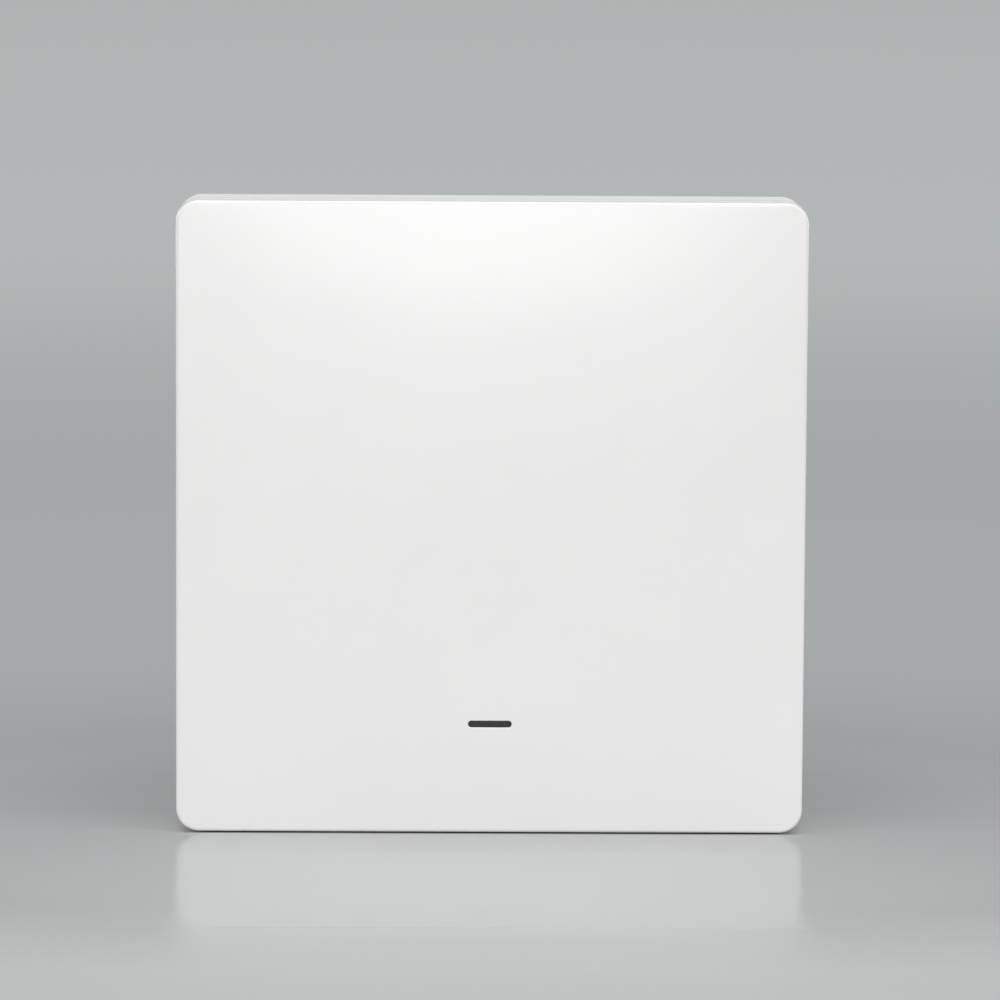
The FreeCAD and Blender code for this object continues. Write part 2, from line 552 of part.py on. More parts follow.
def build_housing():
    """The housing: side walls, deck with its windows, hinge ears, screw bosses and ribs."""
    housing = new_body("housing")
    outside = ("Size.housing_width", "Size.housing_height")
    inside = [f"{side} - 2 * Size.housing_wall" for side in outside]
    inner_corner = "Size.housing_corner - Size.housing_wall"
    block = add(housing, "walls", "Size.housing_back", RIM_FRONT,
                (rounded, "0", "0", *outside, "Size.housing_corner"))
    round_edges(housing, "outer_edges", block, "Size.housing_edge",
                lambda edge: flat_at(RIM_FRONT)(edge) or flat_at("Size.housing_back")(edge))
    cut(housing, "rear_hollow", "Size.housing_back", DECK_BACK, (rounded, "0", "0", *inside, inner_corner))
    cut(housing, "deck_recess", DECK_FRONT, RIM_FRONT, (rounded, "0", "0", *inside, inner_corner))
    baffle_out = [f"{side} - 2 * Size.baffle_inset" for side in outside]
    baffle_in = [f"{side} - 2 * Size.baffle_wall" for side in baffle_out]
    add(housing, "light_baffle", DECK_FRONT, f"{DECK_FRONT} + Size.baffle_rise",
        (rounded, "0", "0", *baffle_out, "Size.baffle_corner"),
        (rounded, "0", "0", *baffle_in, "Size.baffle_corner - Size.baffle_wall"))
    for side, x in both_sides(f"({HALF_WIDTH} - Size.rib_inset)"):
        add(housing, f"rib_{side}", f"{DECK_BACK} - Size.rib_drop", DECK_BACK,
            (rectangle, x, "0", "Size.rib_thick", "Size.housing_height - 2 * Size.rib_end"))
    window_width = "(Size.lug_thick + 2 * Size.lug_play)"
    ear_offset = f"({window_width} / 2 + Size.ear_thick / 2)"
    for side, x in both_sides(HINGE_X):
        for place_name, sign in (("inner", -1), ("outer", 1)):
            add(housing, f"ear_{side}_{place_name}", DECK_FRONT, f"{HINGE_DEPTH} + Size.ear_mouth",
                (rectangle, f"({x}) + {sign} * {ear_offset}", HINGE_Z, "Size.ear_thick",
                 "Size.ear_length"))
        cut(housing, f"lug_window_{side}", DECK_BACK, DECK_FRONT,
            (rectangle, x, HINGE_Z, window_width,
             "2 * (Size.pin_radius + Size.lug_rim + Size.lug_play)"))
        cut_across(housing, f"pin_bore_{side}", x, f"{window_width} + 2 * Size.ear_thick + Size.lug_play",
                   (circle, f"-{HINGE_DEPTH}", HINGE_Z, "2 * (Size.pin_radius + Size.pin_play)"))
    for side, x in both_sides(HOOK_X):
        cut(housing, f"hook_window_{side}", DECK_BACK, DECK_FRONT,
            (rectangle, x, HOOK_Z, "Size.hook_width + 2 * Size.hook_room",
             "Size.hook_arm + 2 * Size.hook_room"))
    for side, x in both_sides(SWITCH_X):
        opening = "Size.switch_side + 2 * Size.switch_room"
        cut(housing, f"switch_window_{side}", DECK_BACK, DECK_FRONT,
            (rectangle, x, "-Size.switch_z", opening, opening))
    cut(housing, "light_opening", DECK_BACK, DECK_FRONT,
        (rectangle, "0", LIGHT_Z, "Size.pipe_length + 2 * Size.pipe_play",
         "Size.pipe_height + 2 * Size.pipe_play"))
    for index, (x, z) in enumerate(boss_places()):
        add(housing, f"boss_{index}", BOARD_FRONT, DECK_BACK, (circle, x, z, "Size.boss_width"))
        cut(housing, f"boss_bore_{index}", BOARD_FRONT, f"{BOARD_BACK} + Size.screw_length + Size.screw_tail",
            (circle, x, z, "Size.screw_width + 2 * Size.screw_play"))
    for side, x in both_sides(LOCATOR_X):
        add(housing, f"locator_{side}", f"{BOARD_BACK} - Size.locator_proud", DECK_BACK,
            (circle, x, "-Size.locator_z", "Size.locator_width"))
    cut(housing, "pry_notch", "Size.housing_back", "Size.housing_back + Size.pry_high",
        (rectangle, "0", f"-{HALF_HEIGHT}", "Size.pry_width", "2 * (Size.housing_wall + Size.overshoot)"))
    return housing


def boss_places():
    """Centres of the four screw bosses."""
    boss_levels = (f"{BOARD_TOP} - Size.boss_inset", f"{BOARD_FOOT} + Size.boss_inset")
    return [(x, z) for _, x in both_sides(BOSS_X) for z in boss_levels]


def build_bumpers():
    """Two silicone discs that the key lands on, one near each lower corner."""
    bumpers = new_body("bumpers")
    discs = add(bumpers, "discs", DECK_FRONT, f"{DECK_FRONT} + Size.bumper_rise",
                *[(circle, x, BUMPER_Z, "Size.bumper_width")
                  for _, x in both_sides(BUMPER_X)])
    round_edges(bumpers, "rounding", discs, "Size.bumper_edge",
                flat_at(f"{DECK_FRONT} + Size.bumper_rise"))
    return bumpers


def build_light_pipe():
    """The light pipe: a stem through the deck and a flange behind it."""
    pipe = new_body("light_pipe")
    add(pipe, "flange", f"{DECK_BACK} - Size.pipe_flange", DECK_BACK,
        (rounded, "0", LIGHT_Z, "Size.pipe_length + 2 * Size.pipe_margin",
         "Size.pipe_height + 2 * Size.pipe_margin", "Size.pipe_corner"))
    add(pipe, "stem", DECK_BACK, f"{DECK_FRONT} + Size.pipe_proud",
        (rectangle, "0", LIGHT_Z, "Size.pipe_length", "Size.pipe_height"))
    return pipe


def build_circuit_board():
    """The board, with holes for its screws and the housing's locating pins."""
    board = new_body("circuit_board")
    holes = [(circle, x, z, "Size.screw_width + 2 * Size.screw_room") for x, z in boss_places()]
    holes += [(circle, x, "-Size.locator_z", "Size.locator_width + 2 * Size.locator_play")
              for _, x in both_sides(LOCATOR_X)]
    add(board, "sheet", BOARD_BACK, BOARD_FRONT,
        (rounded, "0", f"({BOARD_TOP} + {BOARD_FOOT}) / 2", "Size.board_width",
         f"{BOARD_TOP} - {BOARD_FOOT}", "Size.board_corner"), *holes)
    return board


def build_board_screws():
    """Four cross-recessed pan head screws, driven from behind."""
    screws = new_body("board_screws")
    head_back = f"({BOARD_BACK} - Size.head_high)"
    heads = add(screws, "heads", head_back, BOARD_BACK,
                *[(circle, x, z, "Size.head_width") for x, z in boss_places()])
    round_edges(screws, "head_rounding", heads, "Size.head_edge", flat_at(head_back))
    add(screws, "shanks", BOARD_BACK, f"{BOARD_BACK} + Size.screw_length",
        *[(circle, x, z, "Size.screw_width") for x, z in boss_places()])
    blades = (("level", "Size.recess_span", "Size.recess_width"),
              ("upright", "Size.recess_width", "Size.recess_span"))
    for name, width, height in blades:
        cut(screws, f"recess_{name}", head_back, f"{head_back} + Size.recess_deep",
            *[(rectangle, x, z, width, height) for x, z in boss_places()])
    return screws


def build_coin_cell():
    """The lithium cell: its can towards the wall and its smaller cap towards the board."""
    cell = new_body("coin_cell")
    can_back = f"({BOARD_BACK} - Size.contact_thick - Size.cell_high)"
    can_front = f"({BOARD_BACK} - Size.contact_thick - Size.cell_step)"
    can = add(cell, "can", can_back, can_front, (circle, "0", "Size.cell_z", "Size.cell_width"))
    round_edges(cell, "can_rounding", can, "Size.cell_edge",
                lambda edge: flat_at(can_back)(edge) or flat_at(can_front)(edge))
    add(cell, "cap", can_front, f"{BOARD_BACK} - Size.contact_thick",
        (circle, "0", "Size.cell_z", "Size.cell_cap"))
    return cell


def build_negative_contact():
    """The sheet contact between the cell's cap and the board."""
    contact = new_body("negative_contact")
    add(contact, "sheet", f"{BOARD_BACK} - Size.contact_thick", BOARD_BACK,
        (rounded, "0", "Size.cell_z", "Size.contact_width", "Size.contact_length", "Size.contact_corner"))
    return contact


def build_battery_clip():
    """The positive contact: a bent strap over the cell with a foot on the board at each side."""
    clip = new_body("battery_clip")
    inner_x = "(Size.cell_width / 2 + Size.clip_room)"
    outer_x = f"({inner_x} + Size.clip_thick)"
    foot_x = f"({outer_x} + Size.clip_foot)"
    strap_front = f"-({BOARD_BACK} - Size.contact_thick - Size.cell_high)"
    strap_back = f"({strap_front} + Size.clip_thick)"
    foot_front = f"-{BOARD_BACK}"
    foot_back = f"({foot_front} + Size.clip_thick)"
    right = [(foot_x, foot_front), (inner_x, foot_front), (inner_x, strap_front)]
    right_back = [(outer_x, strap_back), (outer_x, foot_back), (foot_x, foot_back)]
    left = [(f"-{x}", y) for x, y in reversed(right)]
    left_back = [(f"-{x}", y) for x, y in reversed(right_back)]
    feature(clip, "strap", "XY_Plane", "Size.cell_z - Size.clip_width / 2",
            "Size.cell_z + Size.clip_width / 2", [(outline, right + left + left_back + right_back)],
            "PartDesign::Pad")
    return clip


def build_tact_switch(side, x):
    """One tact switch: base, snap dome, plunger, cover plate and terminals.

    Its pieces are drawn around the switch's own axis, with the board's front face as depth 0."""
    stake = "(Size.switch_side / 2 - Size.stake_inset)"
    stakes = [(f"{h} * {stake}", f"{v} * {stake}") for h in (-1, 1) for v in (-1, 1)]

    base = new_body(f"switch_base_{side}")
    add(base, "block", "0", "Size.switch_body",
        (rectangle, "0", "0", "Size.switch_side", "Size.switch_side"))
    cut(base, "well", "Size.switch_floor", "Size.switch_body", (circle, "0", "0", "Size.switch_well"))
    add(base, "stakes", "Size.switch_body", SWITCH_TOP,
        *[(circle, h, v, "Size.stake_width") for h, v in stakes])

    cover = new_body(f"switch_cover_{side}")
    add(cover, "plate", "Size.switch_body", SWITCH_TOP,
        (rectangle, "0", "0", "Size.cover_side", "Size.cover_side"),
        (circle, "0", "0", "Size.plunger_width + 2 * Size.plunger_play"),
        *[(circle, h, v, "Size.stake_width + 2 * Size.stake_play") for h, v in stakes])

    plunger = new_body(f"switch_plunger_{side}")
    add(plunger, "flange", "Size.plunger_foot", "Size.switch_body - Size.plunger_play",
        (circle, "0", "0", "Size.plunger_flange"))
    add(plunger, "stem", "Size.switch_body - Size.plunger_play", "Size.plunger_tip",
        (circle, "0", "0", "Size.plunger_width"))

    dome = new_body(f"switch_dome_{side}")
    build_dome(dome)

    terminals = new_body(f"switch_terminals_{side}")
    edge = "(Size.switch_side / 2)"
    foot = "(Size.switch_side / 2 + Size.terminal_foot)"
    rows = ("-Size.terminal_z", "Size.terminal_z")
    add(terminals, "feet", "0", "Size.terminal_thick",
        *[(rectangle, f"{h} * ({edge} + {foot}) / 2", v, "Size.terminal_foot", "Size.terminal_width")
          for h in (-1, 1) for v in rows])
    add(terminals, "risers", "Size.terminal_thick", "Size.terminal_rise",
        *[(rectangle, f"{h} * ({edge} + Size.terminal_thick / 2)", v, "Size.terminal_thick",
           "Size.terminal_width") for h in (-1, 1) for v in rows])

    pieces = [base, cover, plunger, dome, terminals]
    for piece in pieces:
        place(piece, x, BOARD_FRONT, "-Size.switch_z")
    return pieces


def build_dome(dome):
    """A thin snap dome resting on the switch's floor: a shallow cone revolved around the axis."""
    sketch = dome.newObject("Sketcher::SketchObject", f"{dome.Name}_profile")
    faces = {face.Role: face for face in dome.Origin.OriginFeatures}
    sketch.AttachmentSupport = (faces["XY_Plane"], "")
    sketch.MapMode = "FlatFace"
    floor = "Size.switch_floor"
    outline(sketch, [("0", f"-({floor} + Size.dome_rise - Size.dome_thick)"),
                     ("Size.dome_flat / 2", f"-({floor} + Size.dome_rise - Size.dome_thick)"),
                     ("Size.dome_width / 2 - Size.dome_thick", f"-{floor}"),
                     ("Size.dome_width / 2", f"-{floor}"),
                     ("Size.dome_flat / 2", f"-({floor} + Size.dome_rise)"),
                     ("0", f"-({floor} + Size.dome_rise)")])
    turned = dome.newObject("PartDesign::Revolution", f"{dome.Name}_turned")
    turned.Profile = sketch
    turned.ReferenceAxis = (sketch, ["V_Axis"])
    turned.Angle = 360.0
    return turned


def build_board_parts():
    """The small parts on the board's front face, each drawn around its own middle."""
    led = new_body("status_led")
    add(led, "base", "0", "Size.led_base", (rectangle, "0", "0", "Size.led_length", "Size.led_width"))
    add(led, "lens", "Size.led_base", "Size.led_base + Size.led_lens",
        (rectangle, "0", "0", "Size.led_lens_length", "Size.led_width"))
    place(led, "0", BOARD_FRONT, LIGHT_Z)

    chip = new_body("radio_chip")
    add(chip, "package", "0", "Size.chip_high", (rectangle, "0", "0", "Size.chip_side", "Size.chip_side"))
    place(chip, "-Size.chip_x", BOARD_FRONT, "Size.chip_z")

    crystal = new_body("crystal")
    add(crystal, "base", "0", "Size.crystal_base",
        (rectangle, "0", "0", "Size.crystal_length", "Size.crystal_width"))
    add(crystal, "lid", "Size.crystal_base", "Size.crystal_base + Size.crystal_lid",
        (rounded, "0", "0", "Size.crystal_length - 2 * Size.crystal_ledge",
         "Size.crystal_width - 2 * Size.crystal_ledge", "Size.crystal_corner"))
    place(crystal, "Size.crystal_x", BOARD_FRONT, "Size.chip_z")

    antenna = new_body("chip_antenna")
    add(antenna, "block", "0", "Size.antenna_high",
        (rectangle, "0", "0", "Size.antenna_length", "Size.antenna_width"))
    place(antenna, "0", BOARD_FRONT, f"{BOARD_TOP} - Size.antenna_inset")

    passives = new_body("chip_components")
    row = [f"({place_index} - (Size.passive_count - 1) / 2) * Size.passive_step"
           for place_index in range(round(number("Size.passive_count")))]
    add(passives, "row", "0", "Size.passive_high",
        *[(rectangle, x, "0", "Size.passive_width", "Size.passive_length") for x in row])
    place(passives, "0", BOARD_FRONT, "Size.passive_z")
    return [led, chip, crystal, antenna, passives]


def build_wall_plate():
    """The plate that stays on the wall, with screw slots, friction tongues and a pad recess."""
    plate = new_body("wall_plate")
    size = (PLATE_WIDTH, PLATE_HEIGHT)
    corner = "Size.housing_corner - Size.housing_wall - Size.plate_play"
    add(plate, "sheet", "Size.plate_back", PLATE_FRONT, (rounded, "0", "0", *size, corner))
    rim_out = [f"{side} - 2 * Size.plate_rim_inset" for side in size]
    rim_in = [f"{side} - 2 * Size.plate_rim_wall" for side in rim_out]
    add(plate, "upstand", PLATE_FRONT, f"{PLATE_FRONT} + Size.plate_rim_rise",
        (rectangle, "0", "0", *rim_out), (rectangle, "0", "0", *rim_in))
    root = f"-{PLATE_FRONT}"
    tip = f"-({PLATE_FRONT} + Size.tongue_rise)"
    slope = "Size.tongue_lead"
    edge = f"({PLATE_HEIGHT} / 2)"
    for side, x in both_sides(TONGUE_X):
        for end, sign in (("top", 1), ("foot", -1)):
            section = [(root, f"{sign} * ({edge} - Size.tongue_thick)"),
                       (root, f"{sign} * {edge}"),
                       (f"{tip} + 2 * {slope}", f"{sign} * {edge}"),
                       (f"{tip} + {slope}", f"{sign} * ({edge} + Size.tongue_bump)"),
                       (tip, f"{sign} * {edge}"),
                       (tip, f"{sign} * ({edge} - Size.tongue_thick)")]
            add_across(plate, f"tongue_{end}_{side}", x, "Size.tongue_width", (outline, section))
    pad_room = [f"{side} + 2 * Size.pad_play" for side in (PAD_WIDTH, PAD_HEIGHT)]
    cut(plate, "pad_recess", "Size.plate_back", "Size.pad_thick",
        (rounded, "0", "0", *pad_room, "Size.pad_corner + Size.pad_play"))
    for side, x in both_sides("Size.wall_hole_pitch / 2"):
        cut(plate, f"screw_slot_{side}", "Size.plate_back", PLATE_FRONT,
            (stadium, x, "0", "Size.wall_hole_length", "Size.wall_hole_width"))
        cut(plate, f"head_recess_{side}", f"{PLATE_FRONT} - Size.wall_head_deep", PLATE_FRONT,
            (stadium, x, "0", "Size.wall_hole_length + 2 * Size.wall_head_margin",
             "Size.wall_hole_width + 2 * Size.wall_head_margin"))
    cut(plate, "pry_notch", "Size.plate_back", PLATE_FRONT,
        (rectangle, "0", f"-{edge}", "Size.pry_width", "2 * Size.pry_deep"))
    return plate


def build_adhesive_pad():
    """The foam tape pad in the wall plate's recess."""
    pad = new_body("adhesive_pad")
    add(pad, "foam", "0", "Size.pad_thick",
        (rounded, "0", "0", PAD_WIDTH, PAD_HEIGHT, "Size.pad_corner"))
    return pad


def check(parts):
    """Stops unless every object is sound and every feature changes its body."""
    doc.recompute()
    for item in doc.Objects:
        if {"Invalid", "Error"} & set(item.State):
            raise RuntimeError(f"{item.Name} failed: {item.State}")
    for item in doc.Objects:
        kind = item.TypeId
        if kind not in ("PartDesign::Pad", "PartDesign::Pocket") or item.BaseFeature is None:
            continue
        change = item.Shape.Volume - item.BaseFeature.Shape.Volume
        grows = kind == "PartDesign::Pad"
        if (change > 0) != grows or abs(change) < LEAST_CHANGE:
            raise RuntimeError(f"{item.Name} changes its body by {change:.4f} cubic mm")
    for part in parts:
        shape = part.Shape
        if shape.isNull() or not shape.isValid() or not shape.Solids:
            raise RuntimeError(f"{part.Label} isn't a sound solid")


parts = [build_key(), build_light_window(), build_housing(), build_bumpers(), build_light_pipe(),
         build_circuit_board(), build_board_screws(), build_coin_cell(), build_negative_contact(),
         build_battery_clip(), build_wall_plate(), build_adhesive_pad()]
for side, x in both_sides(SWITCH_X):
    parts += build_tact_switch(side, x)
parts += build_board_parts()
check(parts)

os.makedirs("parts", exist_ok=True)
for part in parts:
    part.Shape.exportStep(os.path.join("parts", f"{part.Label}.step"))
    print(part.Label, len(part.Shape.Solids), round(part.Shape.Volume, 1))
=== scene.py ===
import math
import bmesh
import bpy
from mathutils import Matrix, Vector


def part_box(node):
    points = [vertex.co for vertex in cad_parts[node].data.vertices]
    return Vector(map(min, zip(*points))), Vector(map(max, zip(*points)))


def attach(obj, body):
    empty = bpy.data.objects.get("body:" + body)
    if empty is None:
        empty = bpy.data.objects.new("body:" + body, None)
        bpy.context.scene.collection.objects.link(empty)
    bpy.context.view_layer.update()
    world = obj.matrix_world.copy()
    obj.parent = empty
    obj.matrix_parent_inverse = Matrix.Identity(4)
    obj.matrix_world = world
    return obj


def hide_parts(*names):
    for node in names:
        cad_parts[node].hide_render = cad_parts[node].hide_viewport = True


# Wall switch with one white rocker key. Sizes below are millimetres in the frame's axes: x to the
# right, z up, and "depth" from the wall plane towards the room, which is -y. Places of the lights, and
# ranges of coordinates in the stage's material, are metres.
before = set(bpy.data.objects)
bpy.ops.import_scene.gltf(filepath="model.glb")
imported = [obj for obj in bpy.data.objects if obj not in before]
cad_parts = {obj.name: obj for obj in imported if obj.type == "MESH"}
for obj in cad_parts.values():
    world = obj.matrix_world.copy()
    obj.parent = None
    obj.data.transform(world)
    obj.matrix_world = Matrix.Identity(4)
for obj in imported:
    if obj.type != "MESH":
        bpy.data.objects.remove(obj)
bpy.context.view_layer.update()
MM = 0.001
BOARD_BACK, BOARD_FRONT = 6.8, 7.8
SCREWS = [(x, z) for x in (-21.0, 21.0) for z in (-29.0, 27.0)]
SWITCHES = (-15.0, 15.0)
SWITCH_Z = -5.0
CELL_Z = 4.0
CLIP_FOOT_X = 12.1
LIGHT_Z = -28.1
ANTENNA_Z = 27.0
CHIP = (-4.0, 12.0)
CRYSTAL = (4.5, 12.0)
CHIP_ROW_Z = 4.6
CHIP_ROW = [(k - 3) * 2.6 for k in range(7)]
CAPACITORS = (1, 2, 5)
FLOOR = -43.0


def spot(x, depth, z):
    """A point of the frame in metres."""
    return Vector((x, -depth, z)) * MM


# ---- Materials


def tinted(colour, share):
    """A colour made darker or lighter by a share."""
    return tuple(min(1.0, share * c) for c in colour)


class Surface:
    """A node material in object space, which is the frame's own space for every piece."""

    def __init__(self, name, **fixed):
        self.material = bpy.data.materials.new(name)
        self.material.use_nodes = True
        self.tree = self.material.node_tree
        self.shader = self.tree.nodes["Principled BSDF"]
        for label, value in fixed.items():
            self.shader.inputs[label.replace("_", " ")].default_value = value
        self.where = self.node("ShaderNodeTexCoord").outputs["Object"]

    def node(self, kind, inputs=None, **settings):
        made = self.tree.nodes.new(kind)
        for key, value in settings.items():
            setattr(made, key, value)
        for key, value in (inputs or {}).items():
            if isinstance(value, bpy.types.NodeSocket):
                self.tree.links.new(value, made.inputs[key])
            else:
                made.inputs[key].default_value = value
        return made

    def feed(self, label, output):
        """Links an output to one of the shader's inputs."""
        self.tree.links.new(output, self.shader.inputs[label])

    def math(self, operation, *values):
        return self.node("ShaderNodeMath", dict(enumerate(values)), operation=operation).outputs[0]

    def axes(self):
        return self.node("ShaderNodeSeparateXYZ", {0: self.where}).outputs

    def scaled(self, x=1.0, y=1.0, z=1.0):
        return self.node("ShaderNodeMapping", {"Vector": self.where, "Scale": (x, y, z)}).outputs[0]

    def noise(self, grain_mm, detail=2.0, where=None):
        return self.node("ShaderNodeTexNoise", {"Vector": where or self.where, "Scale": 1 / (grain_mm * MM),
                                                "Detail": detail}).outputs[0]

    def cells(self, grain_mm):
        scale = 1 / (grain_mm * MM)
        return self.node("ShaderNodeTexVoronoi", {"Vector": self.where, "Scale": scale}).outputs["Distance"]

    def between(self, value, low, high, at=(0.3, 0.7)):
        """Maps a value's range onto another. The range given by default is where noise lies."""
        return self.node("ShaderNodeMapRange", {"Value": value, "From Min": at[0], "From Max": at[1],
                                                "To Min": low, "To Max": high}).outputs[0]

    def blend(self, share, first, second):
        """Mixes two colours."""
        first, second = [(*c, 1) if isinstance(c, tuple) and len(c) == 3 else c for c in (first, second)]
        return self.node("ShaderNodeMix", {0: share, 6: first, 7: second}, data_type="RGBA").outputs[2]

    def ramp(self, value, stops):
        """A colour ramp from (place, colour) stops. A plain number stands for a grey."""
        stops = [(place, colour if isinstance(colour, tuple) else (colour,) * 3) for place, colour in stops]
        made = self.node("ShaderNodeValToRGB", {0: value})
        ends = made.color_ramp.elements
        for element, (place, colour) in zip(ends, (stops[0], stops[-1])):
            element.position, element.color = place, (*colour, 1)
        for place, colour in stops[1:-1]:
            ends.new(place).color = (*colour, 1)
        return made.outputs[0]

    def edges(self, width_mm):
        """1 on rounded-over edges and corners, 0 on flat faces."""
        soft = self.node("ShaderNodeBevel", {"Radius": width_mm * MM}, samples=4).outputs[0]
        flat = self.node("ShaderNodeNewGeometry").outputs["Normal"]
        match = self.node("ShaderNodeVectorMath", {0: soft, 1: flat}, operation="DOT_PRODUCT")
        return self.between(match.outputs["Value"], 1.0, 0.0, (0.75, 0.99))

    def side_faces(self):
        """0 on faces that look at the wall or into the room, 1 on the others."""
        normal = self.node("ShaderNodeNewGeometry").outputs["Normal"]
        along_y = self.node("ShaderNodeSeparateXYZ", {0: normal}).outputs[1]
        return self.math("LESS_THAN", self.math("ABSOLUTE", along_y), 0.5)

    def inside(self, axis, low_mm, high_mm):
        """1 where a coordinate lies between two values."""
        above = self.math("GREATER_THAN", axis, low_mm * MM)
        return self.math("MULTIPLY", above, self.math("LESS_THAN", axis, high_mm * MM))

    def from_axis(self, x, z):
        """Distance in metres from the line along y through a point (x, z)."""
        flat = self.node("ShaderNodeMapping", {"Vector": self.where, "Location": (-x * MM, 0, -z * MM),
                                               "Scale": (1, 0, 1)}).outputs[0]
        return self.node("ShaderNodeVectorMath", {0: flat}, operation="LENGTH").outputs["Value"]

    def rings(self, places, radius_mm, width_mm):
        """Height of raised rings about points (x, z) on a face that looks along y."""
        total = None
        for x, z in places:
            off = self.math("ABSOLUTE", self.math("SUBTRACT", self.from_axis(x, z), radius_mm * MM))
            one = self.between(off, 1.0, 0.0, (0.0, width_mm * MM))
            total = one if total is None else self.math("MAXIMUM", total, one)
        return total

    def finish(self, colour, roughness, heights=()):
        """Links colour, roughness and a chain of (height, microns) bumps, and returns the material."""
        self.feed("Base Color", colour)
        self.feed("Roughness", roughness)
        normal = None
        for height, microns in heights:
            inputs = {"Strength": 1.0, "Distance": microns * MM * MM, "Height": height}
            if normal is not None:
                inputs["Normal"] = normal
            normal = self.node("ShaderNodeBump", inputs).outputs[0]
        if normal is not None:
            self.feed("Normal", normal)
        return self.material


def moulded(name, colour, roughness, marks=(), gloss_edges=0.0, grain=0.11, grain_depth=1.6, painted_rim_shade=(),
            **fixed):
    """Injection moulded plastic: eroded-mould grain, faint flow shading and slightly polished edges."""
    dust, speck_reach = (0.35, 0.33, 0.31), 0.012
    s = Surface(name, **fixed)
    base = s.blend(s.between(s.noise(23.0, 3.0), 0.0, 1.0), colour, tinted(colour, 0.985))
    specks = s.math("LESS_THAN", s.cells(9.0), speck_reach)
    base = s.blend(s.math("MULTIPLY", specks, 0.16), base, dust)
    # Painted shade: a band of the housing's front rim, in the gap behind the key, is darkened, which also
    # takes out the rim's highlight.
    if painted_rim_shade:
        base = s.blend(s.inside(s.axes()[1], *painted_rim_shade), base, tinted(colour, 0.7))
    polished = s.math("MULTIPLY", s.edges(0.5), gloss_edges)
    rough = s.math("SUBTRACT", s.between(s.noise(4.0), roughness - 0.02, roughness + 0.02), polished)
    heights = [(s.noise(grain, 3.0), grain_depth), (s.noise(6.0, 1.0), 3.0)]
    if marks:
        heights.append((s.rings(*marks), 40.0))
    return s.finish(base, rough, heights)


def sheet_metal(name, colour, roughness, across=(1.0, 1.0, 1.0), grain=0.05):
    """Rolled or plated metal with fine lines, faint staining and brighter edges."""
    s = Surface(name, Metallic=1.0)
    lines = s.noise(grain, 2.0, s.scaled(*across))
    stain = s.noise(1.6, 3.0)
    base = s.blend(s.between(stain, 0.0, 1.0), colour, tinted(colour, 0.72))
    base = s.blend(s.math("MULTIPLY", s.edges(0.08), 0.8), base, tinted(colour, 1.12))
    rough = s.math("ADD", s.between(lines, roughness - 0.07, roughness + 0.07), s.between(stain, 0.0, 0.06))
    return s.finish(base, rough, [(lines, 1.2), (stain, 2.0)])


def solder():
    """Reflowed solder, bright with dull clouds."""
    s = Surface("solder", Metallic=1.0)
    dull = s.noise(0.35, 3.0)
    base = s.blend(s.between(dull, 0.0, 1.0), (0.72, 0.72, 0.74), (0.52, 0.53, 0.55))
    return s.finish(base, s.between(dull, 0.18, 0.36), [(dull, 6.0), (s.noise(0.08), 1.5)])


def lacquer(name, colour, deep):
    """Solder mask over glass laminate: a faint weave, uneven shading, a glossy skin and bare cut sides."""
    weave_rate = 9000.0
    s = Surface(name, IOR=1.52)
    x, _, z = s.axes()
    weave = s.math("MULTIPLY", s.math("SINE", s.math("MULTIPLY", x, weave_rate)),
                   s.math("SINE", s.math("MULTIPLY", z, weave_rate)))
    base = s.blend(s.between(s.noise(7.0, 3.0), 0.0, 1.0), colour, deep)
    base = s.blend(s.between(weave, 0.0, 0.12, (-1.0, 1.0)), base, (0.35, 0.42, 0.22))
    cut = s.side_faces()
    laminate = s.blend(s.between(s.noise(0.12), 0.0, 1.0), (0.46, 0.42, 0.24), (0.3, 0.27, 0.14))
    rough = s.math("ADD", s.between(s.noise(0.8), 0.2, 0.3), s.math("MULTIPLY", cut, 0.4))
    return s.finish(s.blend(cut, base, laminate), rough, [(weave, 1.0), (s.noise(0.5), 2.5)])


def foam(name, colour):
    """Closed-cell foam with a skin on its faces and open pores at its cut sides."""
    s = Surface(name, IOR=1.45)
    pores = s.cells(0.22)
    dark = tinted(colour, 0.55)
    base = s.blend(s.between(pores, 0.0, 1.0, (0.1, 0.6)), dark, colour)
    base = s.blend(s.between(s.noise(3.0), 0.0, 0.25), base, dark)
    deep = s.math("MULTIPLY", pores, s.math("ADD", s.math("MULTIPLY", s.side_faces(), 0.8), 0.2))
    return s.finish(base, s.between(pores, 0.95, 0.7, (0.1, 0.6)), [(deep, 90.0)])


def liner():
    """Glazed release paper: fibres, a faint quilted emboss and soft creases."""
    quilt_rate = 2500.0
    s = Surface("release_paper", IOR=1.45, Coat_Weight=0.25, Coat_Roughness=0.25)
    fibre = s.noise(0.5, 4.0, s.scaled(1.0, 1.0, 3.5))
    x, _, z = s.axes()
    rising, falling = [s.math("SINE", s.math("MULTIPLY", s.math(way, x, z), quilt_rate))
                       for way in ("ADD", "SUBTRACT")]
    quilt = s.math("MULTIPLY", rising, falling)
    base = s.blend(s.between(fibre, 0.0, 1.0), (0.83, 0.79, 0.66), (0.76, 0.7, 0.55))
    base = s.blend(s.between(s.noise(14.0), 0.0, 0.3), base, (0.68, 0.62, 0.47))
    crease = s.noise(9.0, 1.0)
    return s.finish(base, s.between(fibre, 0.38, 0.55), [(fibre, 4.0), (quilt, 5.0), (crease, 60.0)])


